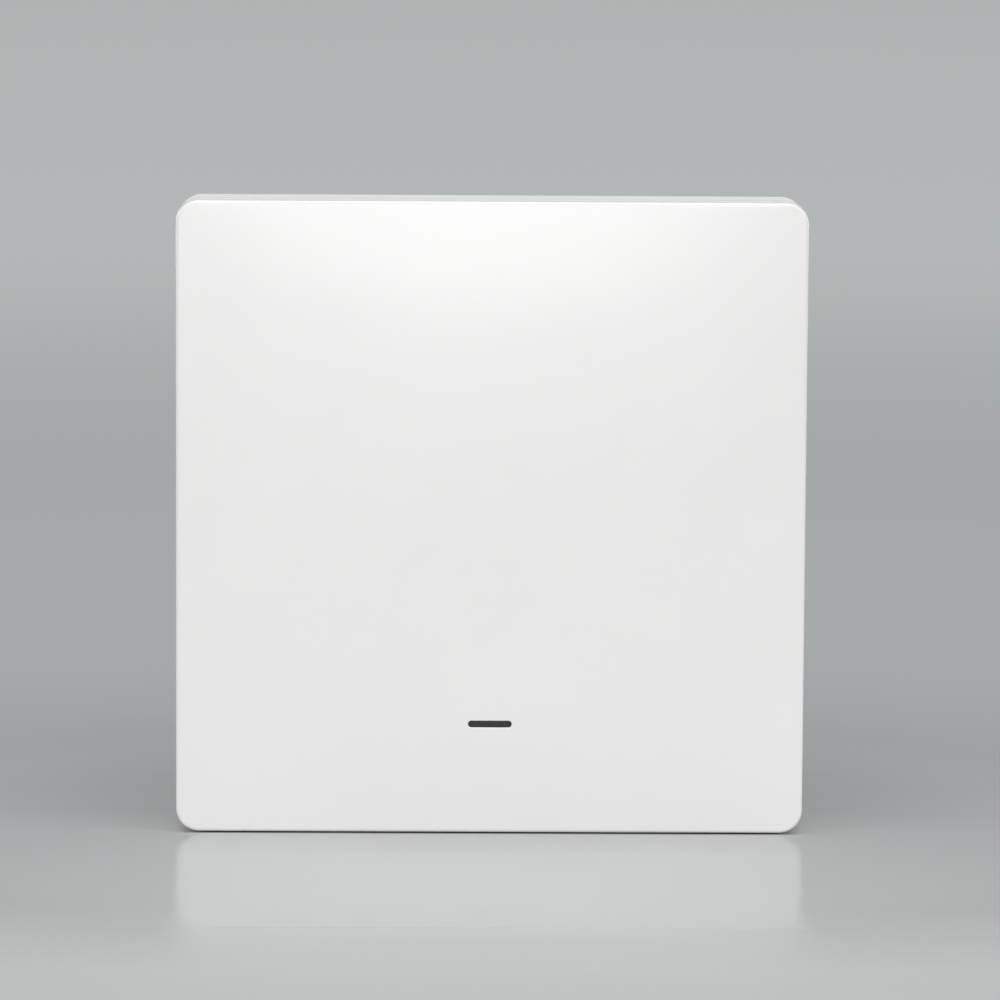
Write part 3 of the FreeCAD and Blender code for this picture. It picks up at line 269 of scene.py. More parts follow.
def two_part(name, border, base, lid, base_rough, lid_rough, metal_lid=False, **fixed):
    """A chip part whose base and lid differ: the border is a depth from the wall plane."""
    s = Surface(name, **fixed)
    on_lid = s.math("LESS_THAN", s.axes()[1], -border * MM)
    fine = s.noise(0.09, 3.0)
    lines = s.noise(0.06, 1.0, s.scaled(1.0, 1.0, 0.1))
    colour = s.blend(on_lid, s.blend(s.between(fine, 0.0, 1.0), base, tinted(base, 0.85)),
                     s.blend(s.between(lines, 0.0, 1.0), lid, tinted(lid, 0.82)))
    rough = s.math("ADD", s.between(on_lid, base_rough, lid_rough, (0.0, 1.0)), s.between(fine, -0.05, 0.05))
    if metal_lid:
        s.feed("Metallic", on_lid)
    return s.finish(colour, rough, [(fine, 1.5), (lines, 1.0)])


def smoked():
    """Smoke-tinted window: a dark glossy body with faint depth."""
    s = Surface("smoked_window", IOR=1.45)
    haze = s.noise(0.8, 2.0)
    base = s.blend(s.between(haze, 0.0, 1.0), (0.034, 0.033, 0.034), (0.018, 0.018, 0.019))
    scratch = s.noise(0.05, 1.0, s.scaled(0.06, 1.0, 1.0))
    return s.finish(base, s.between(scratch, 0.16, 0.3), [(scratch, 0.8), (haze, 2.0)])


def clear(name, colour, roughness, transmission, grain=0.2):
    """Clear or milky moulding."""
    s = Surface(name, IOR=1.49, Transmission_Weight=transmission)
    milk = s.noise(1.5, 3.0)
    base = s.blend(s.between(milk, 0.0, 1.0), colour, tinted(colour, 0.93))
    fine = s.noise(grain)
    worn = s.math("MULTIPLY", s.edges(0.15), 0.2)
    rough = s.math("ADD", s.between(fine, roughness - 0.04, roughness + 0.06), worn)
    return s.finish(base, rough, [(fine, 1.5), (milk, 4.0)])


def cell_steel():
    """Nickel plated can, turned and polished in rings, with a stamped plus near its rim."""
    plus_z, plus_reach, plus_half, rings_per_metre = CELL_Z + 6.4, 1.1, 0.16, 16000.0
    s = Surface("cell_nickel", Metallic=1.0)
    outward = s.math("MULTIPLY", s.from_axis(0.0, CELL_Z), rings_per_metre)
    rings = s.node("ShaderNodeTexNoise", {"W": outward, "Detail": 3.0}, noise_dimensions="1D").outputs[0]
    stain = s.noise(2.5, 4.0)
    base = s.blend(s.between(stain, 0.0, 1.0), (0.8, 0.79, 0.77), (0.62, 0.61, 0.6))
    rough = s.math("ADD", s.between(rings, 0.2, 0.36), s.between(stain, 0.0, 0.08))
    x, _, z = s.axes()
    up = s.math("SUBTRACT", z, plus_z * MM)
    level, upright = [s.math("MULTIPLY", s.inside(long, -plus_reach, plus_reach),
                             s.inside(short, -plus_half, plus_half)) for long, short in ((x, up), (up, x))]
    plus = s.math("MULTIPLY", s.math("MAXIMUM", level, upright), -1.0)
    return s.finish(base, rough, [(rings, 1.0), (s.noise(0.3, 2.0), 1.5), (plus, 60.0)])


def antenna():
    """Ceramic antenna block with tinned ends and a printed meander."""
    body_reach, meander_rate, meander_reach, half_line = 2.9, 5200.0, 0.55, 0.13
    s = Surface("antenna_ceramic", IOR=1.6)
    x, _, z = s.axes()
    ends = s.math("GREATER_THAN", s.math("ABSOLUTE", x), body_reach * MM)
    steep = s.math("MULTIPLY", s.math("SINE", s.math("MULTIPLY", x, meander_rate)), 3.0)
    square = s.node("ShaderNodeClamp", {"Value": steep, "Min": -1.0, "Max": 1.0}).outputs[0]
    middle = s.math("MULTIPLY", square, meander_reach * MM)
    off = s.math("SUBTRACT", s.math("SUBTRACT", z, ANTENNA_Z * MM), middle)
    line = s.math("LESS_THAN", s.math("ABSOLUTE", off), half_line * MM)
    metal = s.math("MAXIMUM", ends, line)
    fine = s.noise(0.07, 3.0)
    base = s.blend(s.between(fine, 0.0, 1.0), (0.7, 0.74, 0.78), (0.6, 0.64, 0.7))
    s.feed("Metallic", metal)
    return s.finish(s.blend(metal, base, (0.72, 0.71, 0.69)), s.between(fine, 0.3, 0.5),
                    [(fine, 1.5), (line, 12.0)])


# Rings that ejector pins leave: places, radius and width.
housing_marks = ([(x, z) for x in (-26.0, 26.0) for z in (-22.0, 0.0, 22.0)], 2.0, 0.12)
plate_marks = ([(x, z) for x in (-34.5, 34.5) for z in (-34.0, -17.0, 17.0, 34.0)], 2.2, 0.12)
key_white = moulded("key_white", (0.86, 0.848, 0.842), 0.21, gloss_edges=0.1, IOR=1.5)
# The housing gets a band of painted shade on its front rim, at depths 10.42 to 10.9 mm.
housing_white = moulded("housing_white", (0.84, 0.835, 0.83), 0.42, housing_marks, 0.08,
                        painted_rim_shade=(-10.9, -10.42), IOR=1.5)
plate_white = moulded("plate_white", (0.82, 0.815, 0.8), 0.48, plate_marks, 0.08, grain=0.16,
                      grain_depth=4.0, IOR=1.5)
nylon_black = moulded("nylon_black", (0.022, 0.022, 0.024), 0.5, gloss_edges=0.15, grain=0.07,
                      grain_depth=2.0)
plunger_grey = moulded("plunger_grey", (0.05, 0.05, 0.055), 0.38, gloss_edges=0.12, grain=0.06)
gasket_black = moulded("gasket_black", (0.03, 0.03, 0.032), 0.55, grain=0.08)
epoxy_black = moulded("epoxy_black", (0.018, 0.018, 0.02), 0.42, grain=0.06, grain_depth=3.0)
ceramic_white = moulded("ceramic_white", (0.78, 0.76, 0.7), 0.45, grain=0.05, grain_depth=1.5)
ceramic_tan = moulded("ceramic_tan", (0.46, 0.33, 0.2), 0.4, grain=0.05, grain_depth=1.5)
resistor_black = moulded("resistor_black", (0.02, 0.02, 0.022), 0.3, grain=0.05)
ink_white = moulded("ink_white", (0.8, 0.81, 0.79), 0.6, grain=0.05, grain_depth=3.0)
tin_cover = sheet_metal("tin_cover", (0.78, 0.77, 0.74), 0.3, (1.0, 1.0, 0.08))
tin_lead = sheet_metal("tin_lead", (0.8, 0.79, 0.77), 0.28, (1.0, 0.1, 1.0))
nickel_strip = sheet_metal("nickel_strip", (0.76, 0.72, 0.66), 0.25, (0.07, 1.0, 1.0))
zinc_screw = sheet_metal("zinc_screw", (0.7, 0.71, 0.74), 0.32, grain=0.09)
solder_metal = solder()
cell_nickel = cell_steel()
mask_green = lacquer("mask_green", (0.012, 0.12, 0.045), (0.006, 0.07, 0.026))
mask_track = lacquer("mask_track", (0.03, 0.2, 0.07), (0.018, 0.13, 0.045))
foam_grey = foam("foam_grey", (0.62, 0.62, 0.6))
release_paper = liner()
pipe_clear = clear("pipe_clear", (0.93, 0.95, 0.95), 0.12, 0.85)
silicone_soft = clear("silicone_soft", (0.8, 0.81, 0.8), 0.42, 0.25, 0.35)
crystal_can = two_part("crystal_look", BOARD_FRONT + 0.35, (0.52, 0.46, 0.34), (0.74, 0.73, 0.7), 0.5, 0.26,
                       metal_lid=True)
led_resin = two_part("led_resin", BOARD_FRONT + 0.25, (0.78, 0.78, 0.74), (0.86, 0.83, 0.55), 0.5, 0.14,
                     IOR=1.52)

LOOKS = {
    "rocker_key": key_white, "light_window": smoked(), "housing": housing_white,
    "bumpers": silicone_soft, "light_pipe": pipe_clear, "circuit_board": mask_green,
    "negative_contact": nickel_strip, "wall_plate": plate_white, "status_led": led_resin,
    "crystal": crystal_can, "chip_antenna": antenna(),
}
for side in ("left", "right"):
    LOOKS[f"switch_base_{side}"] = nylon_black
    LOOKS[f"switch_cover_{side}"] = tin_cover
    LOOKS[f"switch_plunger_{side}"] = plunger_grey
    LOOKS[f"switch_dome_{side}"] = nickel_strip
    LOOKS[f"switch_terminals_{side}"] = tin_lead
for node, look in LOOKS.items():
    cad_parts[node].material_slots[0].material = look


# ---- Mesh helpers


def piece(name, bm, body, *looks, slot, stands_for=(), crease=32.0):
    """Turns a bmesh into a piece that rides on a body."""
    bmesh.ops.recalc_face_normals(bm, faces=bm.faces)
    mesh = bpy.data.meshes.new(name)
    bm.to_mesh(mesh)
    bm.free()
    for look in looks:
        mesh.materials.append(look)
    mesh.polygons.foreach_set("use_smooth", [True] * len(mesh.polygons))
    mesh.set_sharp_from_angle(angle=math.radians(crease))
    made = bpy.data.objects.new(name, mesh)
    bpy.context.scene.collection.objects.link(made)
    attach(made, body)
    if stands_for:
        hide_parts(*stands_for)
    return made


def evaluated(thing):
    """A bmesh of an object as its modifiers or its curve settings make it."""
    bpy.context.view_layer.update()
    mesh = bpy.data.meshes.new_from_object(thing.evaluated_get(bpy.context.evaluated_depsgraph_get()))
    bm = bmesh.new()
    bm.from_mesh(mesh)
    bpy.data.meshes.remove(mesh)
    return bm


def join_rings(bm, rings, steps):
    """Faces between each ring and the next. A ring of one vertex is a point that closes the shape."""
    for first, second in zip(rings, rings[1:]):
        for k in range(steps):
            corners = [first[k % len(first)], first[(k + 1) % len(first)],
                       second[(k + 1) % len(second)], second[k % len(second)]]
            unique = list(dict.fromkeys(corners))
            if len(unique) > 2:
                bm.faces.new(unique)


def lathe(bm, x, z, profile, steps=72):
    """Turns (radius, depth) points about an axis from wall to room."""
    rings = []
    for radius, depth in profile:
        turns = [math.tau * k / steps for k in range(steps if radius else 1)]
        rings.append([bm.verts.new(spot(x + radius * math.cos(t), depth, z + radius * math.sin(t)))
                      for t in turns])
    join_rings(bm, rings, steps)


def block(bm, x, z, width, height, rear, front, edge=0.05, segments=2, look=0):
    """A box with rounded edges, between two depths."""
    middle = spot(x, (rear + front) / 2, z)
    size = Vector((width, front - rear, height)) * MM
    matrix = Matrix.Translation(middle) @ Matrix.Diagonal((*size, 1.0))
    made = bmesh.ops.create_cube(bm, size=1.0, matrix=matrix)
    edges = list(dict.fromkeys(e for v in made["verts"] for e in v.link_edges))
    faces = list(dict.fromkeys(f for v in made["verts"] for f in v.link_faces))
    cut = bmesh.ops.bevel(bm, geom=edges, offset=edge * MM, segments=segments, profile=0.5, affect="EDGES")
    for face in faces + cut["faces"]:
        if face.is_valid:
            face.material_index = look


def fillet(bm, x, z, width, height, surface, rise, steps=20):
    """A concave solder fillet on the board, thinning out from a lead at its middle."""
    squareness = 0.6
    rings = []
    for share, level in zip((1.0, 0.8, 0.62, 0.5, 0.42, 0.0), (0.0, 0.12, 0.34, 0.66, 0.96, 1.0)):
        ring = []
        for k in range(steps if share else 1):
            t = math.tau * k / steps
            across, up = [math.copysign(abs(v) ** squareness, v) for v in (math.cos(t), math.sin(t))]
            ring.append(bm.verts.new(spot(x + share * width / 2 * across, surface + rise * level,
                                          z + share * height / 2 * up)))
        rings.append(ring)
    join_rings(bm, rings, steps)


def tracks(name, runs, surface, radius):
    """Copper runs under the solder mask, as low ridges on a board face."""
    outward = 1 if surface == BOARD_FRONT else -1
    sunk = 0.125
    curve = bpy.data.curves.new(name, "CURVE")
    curve.dimensions = "3D"
    curve.bevel_depth = radius * MM
    curve.bevel_resolution = 1
    curve.use_fill_caps = True
    for run in runs:
        spline = curve.splines.new("POLY")
        spline.points.add(len(run) - 1)
        for point, (x, z) in zip(spline.points, run):
            point.co = (*spot(x, surface - outward * sunk, z), 1.0)
    source = bpy.data.objects.new(name, curve)
    bpy.context.scene.collection.objects.link(source)
    bm = evaluated(source)
    bpy.data.objects.remove(source)
    piece(name, bm, "housing", mask_track, slot="board_laminate", crease=50.0)


def carve(body_bm, cutter_bm):
    """The first mesh with the second cut out of it."""
    made = []
    for bm in (body_bm, cutter_bm):
        bmesh.ops.recalc_face_normals(bm, faces=bm.faces)
        mesh = bpy.data.meshes.new("carving")
        bm.to_mesh(mesh)
        bm.free()
        made.append(bpy.data.objects.new("carving", mesh))
        bpy.context.scene.collection.objects.link(made[-1])
    body, cutter = made
    cutting = body.modifiers.new("cut", "BOOLEAN")
    cutting.object, cutting.solver, cutting.operation = cutter, "EXACT", "DIFFERENCE"
    result = evaluated(body)
    for thing in made:
        bpy.data.objects.remove(thing)
    return result


# ---- Coin cell, clip and screws


def coin_cell():
    """Can, gasket and cap of the coin cell, in its CAD solid's place."""
    low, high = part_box("coin_cell")
    rear, front = -high.y / MM, -low.y / MM
    step = front - 0.4
    can = [(0, rear + 0.06), (8.35, rear + 0.06), (8.6, rear + 0.02), (8.8, rear), (9.35, rear),
           (9.65, rear + 0.06), (9.9, rear + 0.2), (10.0, rear + 0.45), (10.0, step - 0.75),
           (9.97, step - 0.45), (9.88, step - 0.22), (9.7, step - 0.06), (9.4, step),
           (9.12, step - 0.03), (9.02, step - 0.14), (9.02, step - 0.5)]
    gasket = [(9.03, step - 0.4), (9.03, step - 0.1), (8.95, step - 0.03), (8.86, step - 0.03),
              (8.8, step - 0.1), (8.8, step - 0.4)]
    cap = [(8.81, step - 0.4), (8.8, step - 0.05), (8.74, step + 0.12), (8.55, step + 0.26),
           (8.2, front - 0.08), (7.9, front - 0.02), (7.6, front), (0, front)]
    for name, profile, look, slot, stands_for, crease in (
            ("coin_cell_can", can, cell_nickel, "cell_steel", ("coin_cell",), 50),
            ("coin_cell_gasket", gasket, gasket_black, "switch_nylon", (), 32),
            ("coin_cell_cap", cap, cell_nickel, "cell_steel", (), 50)):
        bm = bmesh.new()
        lathe(bm, 0, CELL_Z, profile, 128)
        piece(name, bm, "housing", look, slot=slot, stands_for=stands_for, crease=crease)


def battery_clip():
    """The positive strap: rounded bends, a slot either side of two sprung fingers, and notched feet."""
    thick, bend = 0.25, 0.42
    low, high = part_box("battery_clip")
    back, foot = -high.y / MM + thick / 2, -low.y / MM - thick / 2
    reach, side_x = high.x / MM, 10.3 + thick / 2
    arc = [(math.sin(t), 1 - math.cos(t)) for t in (k * math.pi / 12 for k in range(7))]
    half = [(x, back) for x in (0.0, 1.2, 2.4, 3.6, 4.8, 6.0, 7.2, 8.4, 9.4)]
    half += [(side_x - bend + bend * a, back + bend * b) for a, b in arc]
    half += [(side_x, (back + foot) / 2)]
    half += [(side_x + bend * b, foot - bend + bend * a) for a, b in arc]
    half += [(x, foot) for x in (11.6, 12.2, 12.9, reach)]
    path = [(-x, d) for x, d in reversed(half[1:])] + half
    rows = (-3.5, -3.2, -1.55, -1.15, 1.15, 1.55, 3.2, 3.5)
    outer_row, slot_gaps, hole_gap = 3.3, (2, 4), 3
    bm = bmesh.new()
    grid = []
    for x, depth in path:
        notch = 0.45 if abs(x) > reach - 0.1 else 0.0
        grid.append([bm.verts.new(spot(x, depth, CELL_Z + z - math.copysign(notch, z) * (abs(z) > outer_row)))
                     for z in rows])
    for i in range(len(path) - 1):
        first, second = path[i][0], path[i + 1][0]
        on_finger = min(abs(first), abs(second)) >= 1.0 and max(abs(first), abs(second)) <= 8.5
        on_foot = 11.5 < abs(first + second) / 2 < 12.4
        for j in range(len(rows) - 1):
            slotted = on_finger and j in slot_gaps
            foot_hole = on_foot and j == hole_gap
            if not slotted and not foot_hole:
                bm.faces.new((grid[i][j], grid[i + 1][j], grid[i + 1][j + 1], grid[i][j + 1]))
    clip = piece("battery_clip_strap", bm, "housing", nickel_strip, slot="spring_metal",
                 stands_for=("battery_clip",), crease=50)
    sheet = clip.modifiers.new("sheet", "SOLIDIFY")
    sheet.thickness, sheet.offset = thick * MM, 0.0
    rounding = clip.modifiers.new("rounding", "BEVEL")
    rounding.width, rounding.segments, rounding.limit_method = 0.05 * MM, 2, "ANGLE"


def cross_outline(reach, half):
    """The twelve corners of a cross with arms of a given reach and half width."""
    quarter = [(reach, half), (half, half), (half, reach)]
    corners = []
    for _ in range(4):
        corners += quarter
        quarter = [(-b, a) for a, b in quarter]
    return corners


def screw_recess(bm, x, z, head):
    """A tapering cross to be cut out of a head whose outer face is at a depth."""
    turned = 0.35
    c, s = math.cos(turned), math.sin(turned)
    mouth, floor = [[bm.verts.new(spot(x + a * c - b * s, depth, z + a * s + b * c))
                     for a, b in cross_outline(reach, half)]
                    for reach, half, depth in ((1.1, 0.25, head - 0.3), (0.625, 0.15, head + 0.62))]
    bm.faces.new(mouth)
    bm.faces.new(floor)
    for k in range(len(mouth)):
        bm.faces.new((mouth[k - 1], mouth[k], floor[k], floor[k - 1]))


def screw_thread(bm, x, z):
    """A helical ridge about a core, both thinning towards the tip."""
    steps, pitch, length, taper_from, tip_loss = 28, 0.4, 2.9, 2.4, 0.35
    ridge = ((-0.2, 0.76), (-0.06, 0.98), (0.04, 0.98), (0.18, 0.76))
    count = int(length / pitch * steps)
    rows = []
    for k in range(count + 1):
        t = math.tau * k / steps
        rise = length * k / count
        taper = 1.0 if rise < taper_from else 1.0 - tip_loss * (rise - taper_from) / (length - taper_from)
        rows.append([bm.verts.new(spot(x + radius * taper * math.cos(t), BOARD_BACK + max(0.0, rise + offset),
                                       z + radius * taper * math.sin(t))) for offset, radius in ridge])
    for first, second in zip(rows, rows[1:]):
        for j in range(3):
            bm.faces.new((first[j], first[j + 1], second[j + 1], second[j]))
    lathe(bm, x, z, [(0, BOARD_BACK), (0.78, BOARD_BACK), (0.78, BOARD_BACK + 2.4),
                     (0.5, BOARD_BACK + 2.92), (0, BOARD_BACK + 3.0)], steps)


def screw_set():
    """Four cross-recessed screws with cut threads."""
    head = BOARD_BACK - 1.1
    heads, recesses, threads = bmesh.new(), bmesh.new(), bmesh.new()
    for x, z in SCREWS:
        lathe(heads, x, z, [(0, head), (0.9, head + 0.01), (1.35, head + 0.09), (1.62, head + 0.24),
                            (1.76, head + 0.44), (1.8, head + 0.66), (1.8, head + 1.0), (1.74, head + 1.09),
                            (0.95, head + 1.09), (0, head + 1.09)], 48)
        screw_recess(recesses, x, z, head)
        screw_thread(threads, x, z)
    piece("board_screw_heads", carve(heads, recesses), "housing", zinc_screw, slot="zinc_steel",
          stands_for=("board_screws",), crease=40)
    piece("board_screw_threads", threads, "housing", zinc_screw, slot="zinc_steel", crease=50)


# ---- Circuit board

FRONT_RUNS = [
    [(-6.6, 13.2), (-9.0, 13.2), (-11.0, 11.2), (-11.0, -2.0), (-11.0, -2.75)],
    [(-6.6, 12.4), (-10.0, 9.0), (-10.0, -7.25)],
    [(-1.4, 13.2), (2.6, 13.2), (3.0, 12.8)],
    [(-1.4, 11.2), (2.6, 11.2), (3.0, 11.5)],
    [(-4.8, 14.6), (-4.8, 20.0), (-3.3, 21.5), (-3.3, 26.0)],
    [(-3.2, 9.4), (-3.2, 6.4), (-2.6, 5.8)],
    [(-4.4, 9.4), (-4.4, 7.4), (-5.2, 6.6), (-5.2, 5.2)],
    [(-5.4, 9.4), (-7.8, 7.0), (-7.8, 5.2)],
    [(-2.4, 9.4), (0.0, 7.0), (0.0, 5.2)],
    [(-1.4, 10.2), (2.6, 6.2), (2.6, 5.2)],
    [(6.0, 11.0), (7.8, 9.2), (7.8, 5.2)],
    [(7.8, 4.2), (7.8, 0.0), (10.0, -2.2), (10.8, -2.75)],
    [(0.0, 4.2), (0.0, -20.0), (-1.1, -21.1), (-1.1, -28.1)],
    [(2.6, 4.2), (2.6, -22.0), (1.1, -23.5), (1.1, -28.1)],
    [(19.2, -2.75), (22.0, -0.5), (22.0, 18.0), (20.0, 20.0), (5.0, 20.0), (3.3, 21.7), (3.3, 26.0)],
    [(-19.2, -2.75), (-22.5, 0.5), (-22.5, 17.0), (-19.0, 20.5), (-6.0, 20.5)],
    [(-19.2, -7.25), (-22.0, -10.0), (-22.0, -22.0), (-19.0, -25.0), (-4.0, -25.0), (-1.6, -27.4)],
    [(19.2, -7.25), (22.0, -10.0), (22.0, -22.0), (19.0, -25.0), (4.0, -25.0), (1.6, -27.4)],
]
BACK_RUNS = [
    [(-12.4, 4.0), (-16.0, 4.0), (-18.5, 6.5), (-18.5, 20.0), (-14.0, 24.5), (-4.0, 24.5)],
    [(12.4, 4.0), (16.0, 4.0), (18.5, 6.5), (18.5, 20.0), (14.0, 24.5), (6.0, 24.5)],
    [(-12.4, 3.0), (-18.0, -2.6), (-18.0, -18.0), (-12.0, -24.0), (-4.0, -24.0)],
    [(12.4, 3.0), (18.0, -2.6), (18.0, -18.0), (12.0, -24.0), (4.0, -24.0)],
    [(0.0, -4.0), (0.0, -12.0), (-3.0, -15.0), (-3.0, -22.0)],
    [(1.0, -4.0), (1.0, -11.0), (4.0, -14.0), (4.0, -20.0)],
    [(-8.0, -12.0), (-8.0, -17.0), (-6.0, -19.0), (-6.0, -24.0)],
    [(8.0, -12.0), (8.0, -17.0), (6.0, -19.0), (6.0, -24.0)],
    [(-10.0, 19.0), (-6.0, 19.0), (-4.0, 21.0), (-4.0, 24.5)],
    [(10.0, 19.0), (6.0, 19.0), (4.0, 21.0)],
]
FRONT_RUN_RADIUS = 0.17
BACK_RUN_RADIUS = FRONT_RUN_RADIUS * 0.34 / 0.26
VIAS = [(-3.3, 22.5), (3.3, 22.5), (-22.5, 12.0), (22.0, 12.0), (-22.0, -16.0), (22.0, -16.0), (0.0, -14.0),
        (2.6, -14.0), (-11.0, 4.0), (-10.0, 2.0), (-7.8, 1.8), (7.8, 1.8), (-5.2, 1.8), (12.0, 24.5),
        (-12.0, 20.5), (-14.0, -25.0), (14.0, -25.0), (-3.0, -18.0), (4.0, -16.5), (18.0, -10.0)]
TEST_POINTS = [(x, -12.0 if abs(x) == 8.0 else -24.0) for x in (-12.0, -8.0, -4.0, 4.0, 8.0, 12.0)]


def board_pads():
    """Tinned pads for every part, and the rings under the screw heads."""
    proud, sunk, edge = 0.035, 0.1, 0.03
    bm = bmesh.new()

    def front_pad(x, z, width, height):
        block(bm, x, z, width, height, BOARD_FRONT - sunk, BOARD_FRONT + proud, edge)

    # Turned shapes come before the blocks. After a bevel, their order would change from run to run.
    for x, z in TEST_POINTS:
        lathe(bm, x, z, [(0, BOARD_BACK - proud), (0.72, BOARD_BACK - proud), (0.76, BOARD_BACK - 0.02),
                         (0.76, BOARD_BACK + 0.05)], 28)
    for x, z in SCREWS:
        lathe(bm, x, z, [(1.15, BOARD_BACK + 0.05), (1.15, BOARD_BACK - proud), (2.3, BOARD_BACK - proud),
                         (2.32, BOARD_BACK + 0.05)], 40)
    lathe(bm, 0, CELL_Z, [(0, BOARD_BACK - proud), (3.4, BOARD_BACK - proud), (3.43, BOARD_BACK + 0.05)], 48)
    for x in (-18.6, -11.4, 11.4, 18.6):
        for z in (-2.25, 2.25):
            front_pad(x, SWITCH_Z + z, 1.9, 1.2)
    for x in CHIP_ROW:
        for z in (-0.85, 0.85):
            front_pad(x, CHIP_ROW_Z + z, 1.0, 0.7)
    for x in (-3.2, 3.2):
        front_pad(x, ANTENNA_Z, 1.0, 2.3)
    for side in (-1, 1):
        front_pad(side * 0.95, LIGHT_Z, 0.7, 1.0)
        block(bm, side * CLIP_FOOT_X, CELL_Z, 3.4, 7.9, BOARD_BACK - proud, BOARD_BACK + sunk, edge)
    piece("board_pads", bm, "housing", solder_metal, slot="terminal_tin")


def board_vias():
    """Plated holes, seen on both faces."""
    bm = bmesh.new()
    for x, z in VIAS:
        for surface, outward in ((BOARD_FRONT, 1), (BOARD_BACK, -1)):
            profile = [(0, -0.05), (0.13, -0.04), (0.16, 0.03), (0.3, 0.035), (0.34, -0.02)]
            lathe(bm, x, z, [(radius, surface + outward * rise) for radius, rise in profile], 20)
    piece("board_vias", bm, "housing", solder_metal, slot="terminal_tin")


def solder_joints():
    """Fillets at the leads of the switches, chips, lamp, antenna and battery clip."""
    paste = 0.03
    bm = bmesh.new()
    for x in SWITCHES:
        for side in (-1, 1):
            for z in (-2.25, 2.25):
                fillet(bm, x + side * 3.9, SWITCH_Z + z, 1.7, 1.1, BOARD_FRONT + paste, 0.42)
    for x in CHIP_ROW:
        for z in (-0.82, 0.82):
            fillet(bm, x, CHIP_ROW_Z + z, 0.94, 0.62, BOARD_FRONT + paste, 0.3)
    for side in (-1, 1):
        fillet(bm, side * 0.86, LIGHT_Z, 0.6, 0.86, BOARD_FRONT + paste, 0.22)
        fillet(bm, side * 3.4, ANTENNA_Z, 0.7, 2.1, BOARD_FRONT + paste, 0.5)
        for z in (-2.9, 2.9):
            fillet(bm, side * 12.6, CELL_Z + z, 2.0, 1.4, BOARD_BACK - paste, -0.36)
    piece("solder_joints", bm, "housing", solder_metal, slot="terminal_tin", crease=60)


def board_legend():
    """Printed outlines of the parts, without any lettering."""
    line = 0.14
    bm = bmesh.new()

    def box_outline(x, z, width, height, surface=BOARD_FRONT, outward=1):
        rear, front = sorted((surface - outward * 0.05, surface + outward * 0.02))
        for side in (-1, 1):
            block(bm, x + side * width / 2, z, line, height + line, rear, front, 0.008, 1)
            block(bm, x, z + side * height / 2, width - line, line, rear, front, 0.008, 1)

    # The ring comes before the blocks, as in board_pads.
    lathe(bm, 0, CELL_Z, [(10.75, BOARD_BACK + 0.03), (10.75, BOARD_BACK - 0.02), (10.9, BOARD_BACK - 0.02),
                          (10.9, BOARD_BACK + 0.03)], 96)
    for x in SWITCHES:
        box_outline(x, SWITCH_Z, 7.4, 7.0)
    box_outline(*CHIP, 6.2, 6.2)
    box_outline(*CRYSTAL, 4.2, 3.5)
    box_outline(0, ANTENNA_Z, 8.6, 3.2)
    box_outline(0, LIGHT_Z, 3.6, 1.6)
    for side in (-1, 1):
        box_outline(side * CLIP_FOOT_X, CELL_Z, 4.4, 9.0, BOARD_BACK, -1)
    piece("board_legend", bm, "housing", ink_white, slot="board_laminate")


def chip_row():
    """Chip resistors and capacitors with tinned ends."""
    white, tan, black = range(3)
    top = BOARD_FRONT + 0.5
    bodies, ends = bmesh.new(), bmesh.new()
    for k, x in enumerate(CHIP_ROW):
        if k in CAPACITORS:
            block(bodies, x, CHIP_ROW_Z, 0.78, 1.12, BOARD_FRONT + 0.03, top - 0.02, 0.04, look=tan)
        else:
            block(bodies, x, CHIP_ROW_Z, 0.78, 1.12, BOARD_FRONT + 0.03, top - 0.14, 0.03, look=white)
            block(bodies, x, CHIP_ROW_Z, 0.66, 1.04, top - 0.2, top - 0.06, 0.03, look=black)
        for side in (-1, 1):
            block(ends, x, CHIP_ROW_Z + side * 0.655, 0.8, 0.29, BOARD_FRONT + 0.01, top, 0.05)
    piece("chip_component_bodies", bodies, "housing", ceramic_white, ceramic_tan, resistor_black,
          slot="chip_ceramic", stands_for=("chip_components",))
    piece("chip_component_ends", ends, "housing", tin_lead, slot="terminal_tin")


def radio_chip():
    """The radio chip with a dimple at its first pin, its lands and the tinned pads they stand on."""
    x, z = CHIP
    outer, front = 5.0, BOARD_FRONT + 0.9
    body, dimple, lands = bmesh.new(), bmesh.new(), bmesh.new()
    block(body, x, z, outer, outer, BOARD_FRONT + 0.02, front, 0.06)
    lathe(dimple, x - 1.8, z + 1.8,
          [(0, front - 0.06), (0.28, front - 0.05), (0.34, front + 0.1), (0, front + 0.1)], 28)
    piece("radio_chip_body", carve(body, dimple), "housing", epoxy_black, slot="black_epoxy",
          stands_for=("radio_chip",))
    # Distance from the chip's middle, size out from it, size along its edge, rear and front.
    land = (2.46, 0.1, 0.24, BOARD_FRONT + 0.01, BOARD_FRONT + 0.3)
    pad = (2.62, 0.3, 0.26, BOARD_FRONT - 0.05, BOARD_FRONT + 0.06)
    for k in range(8):
        along = (k - 3.5) * 0.5
        for side in (-1, 1):
            for off, deep, wide, rear, fore in (land, pad):
                block(lands, x + side * off, z + along, deep, wide, rear, fore, 0.02, 1)
                block(lands, x + along, z + side * off, wide, deep, rear, fore, 0.02, 1)
    piece("radio_chip_lands", lands, "housing", tin_lead, slot="terminal_tin")


# ---- Adhesive pad


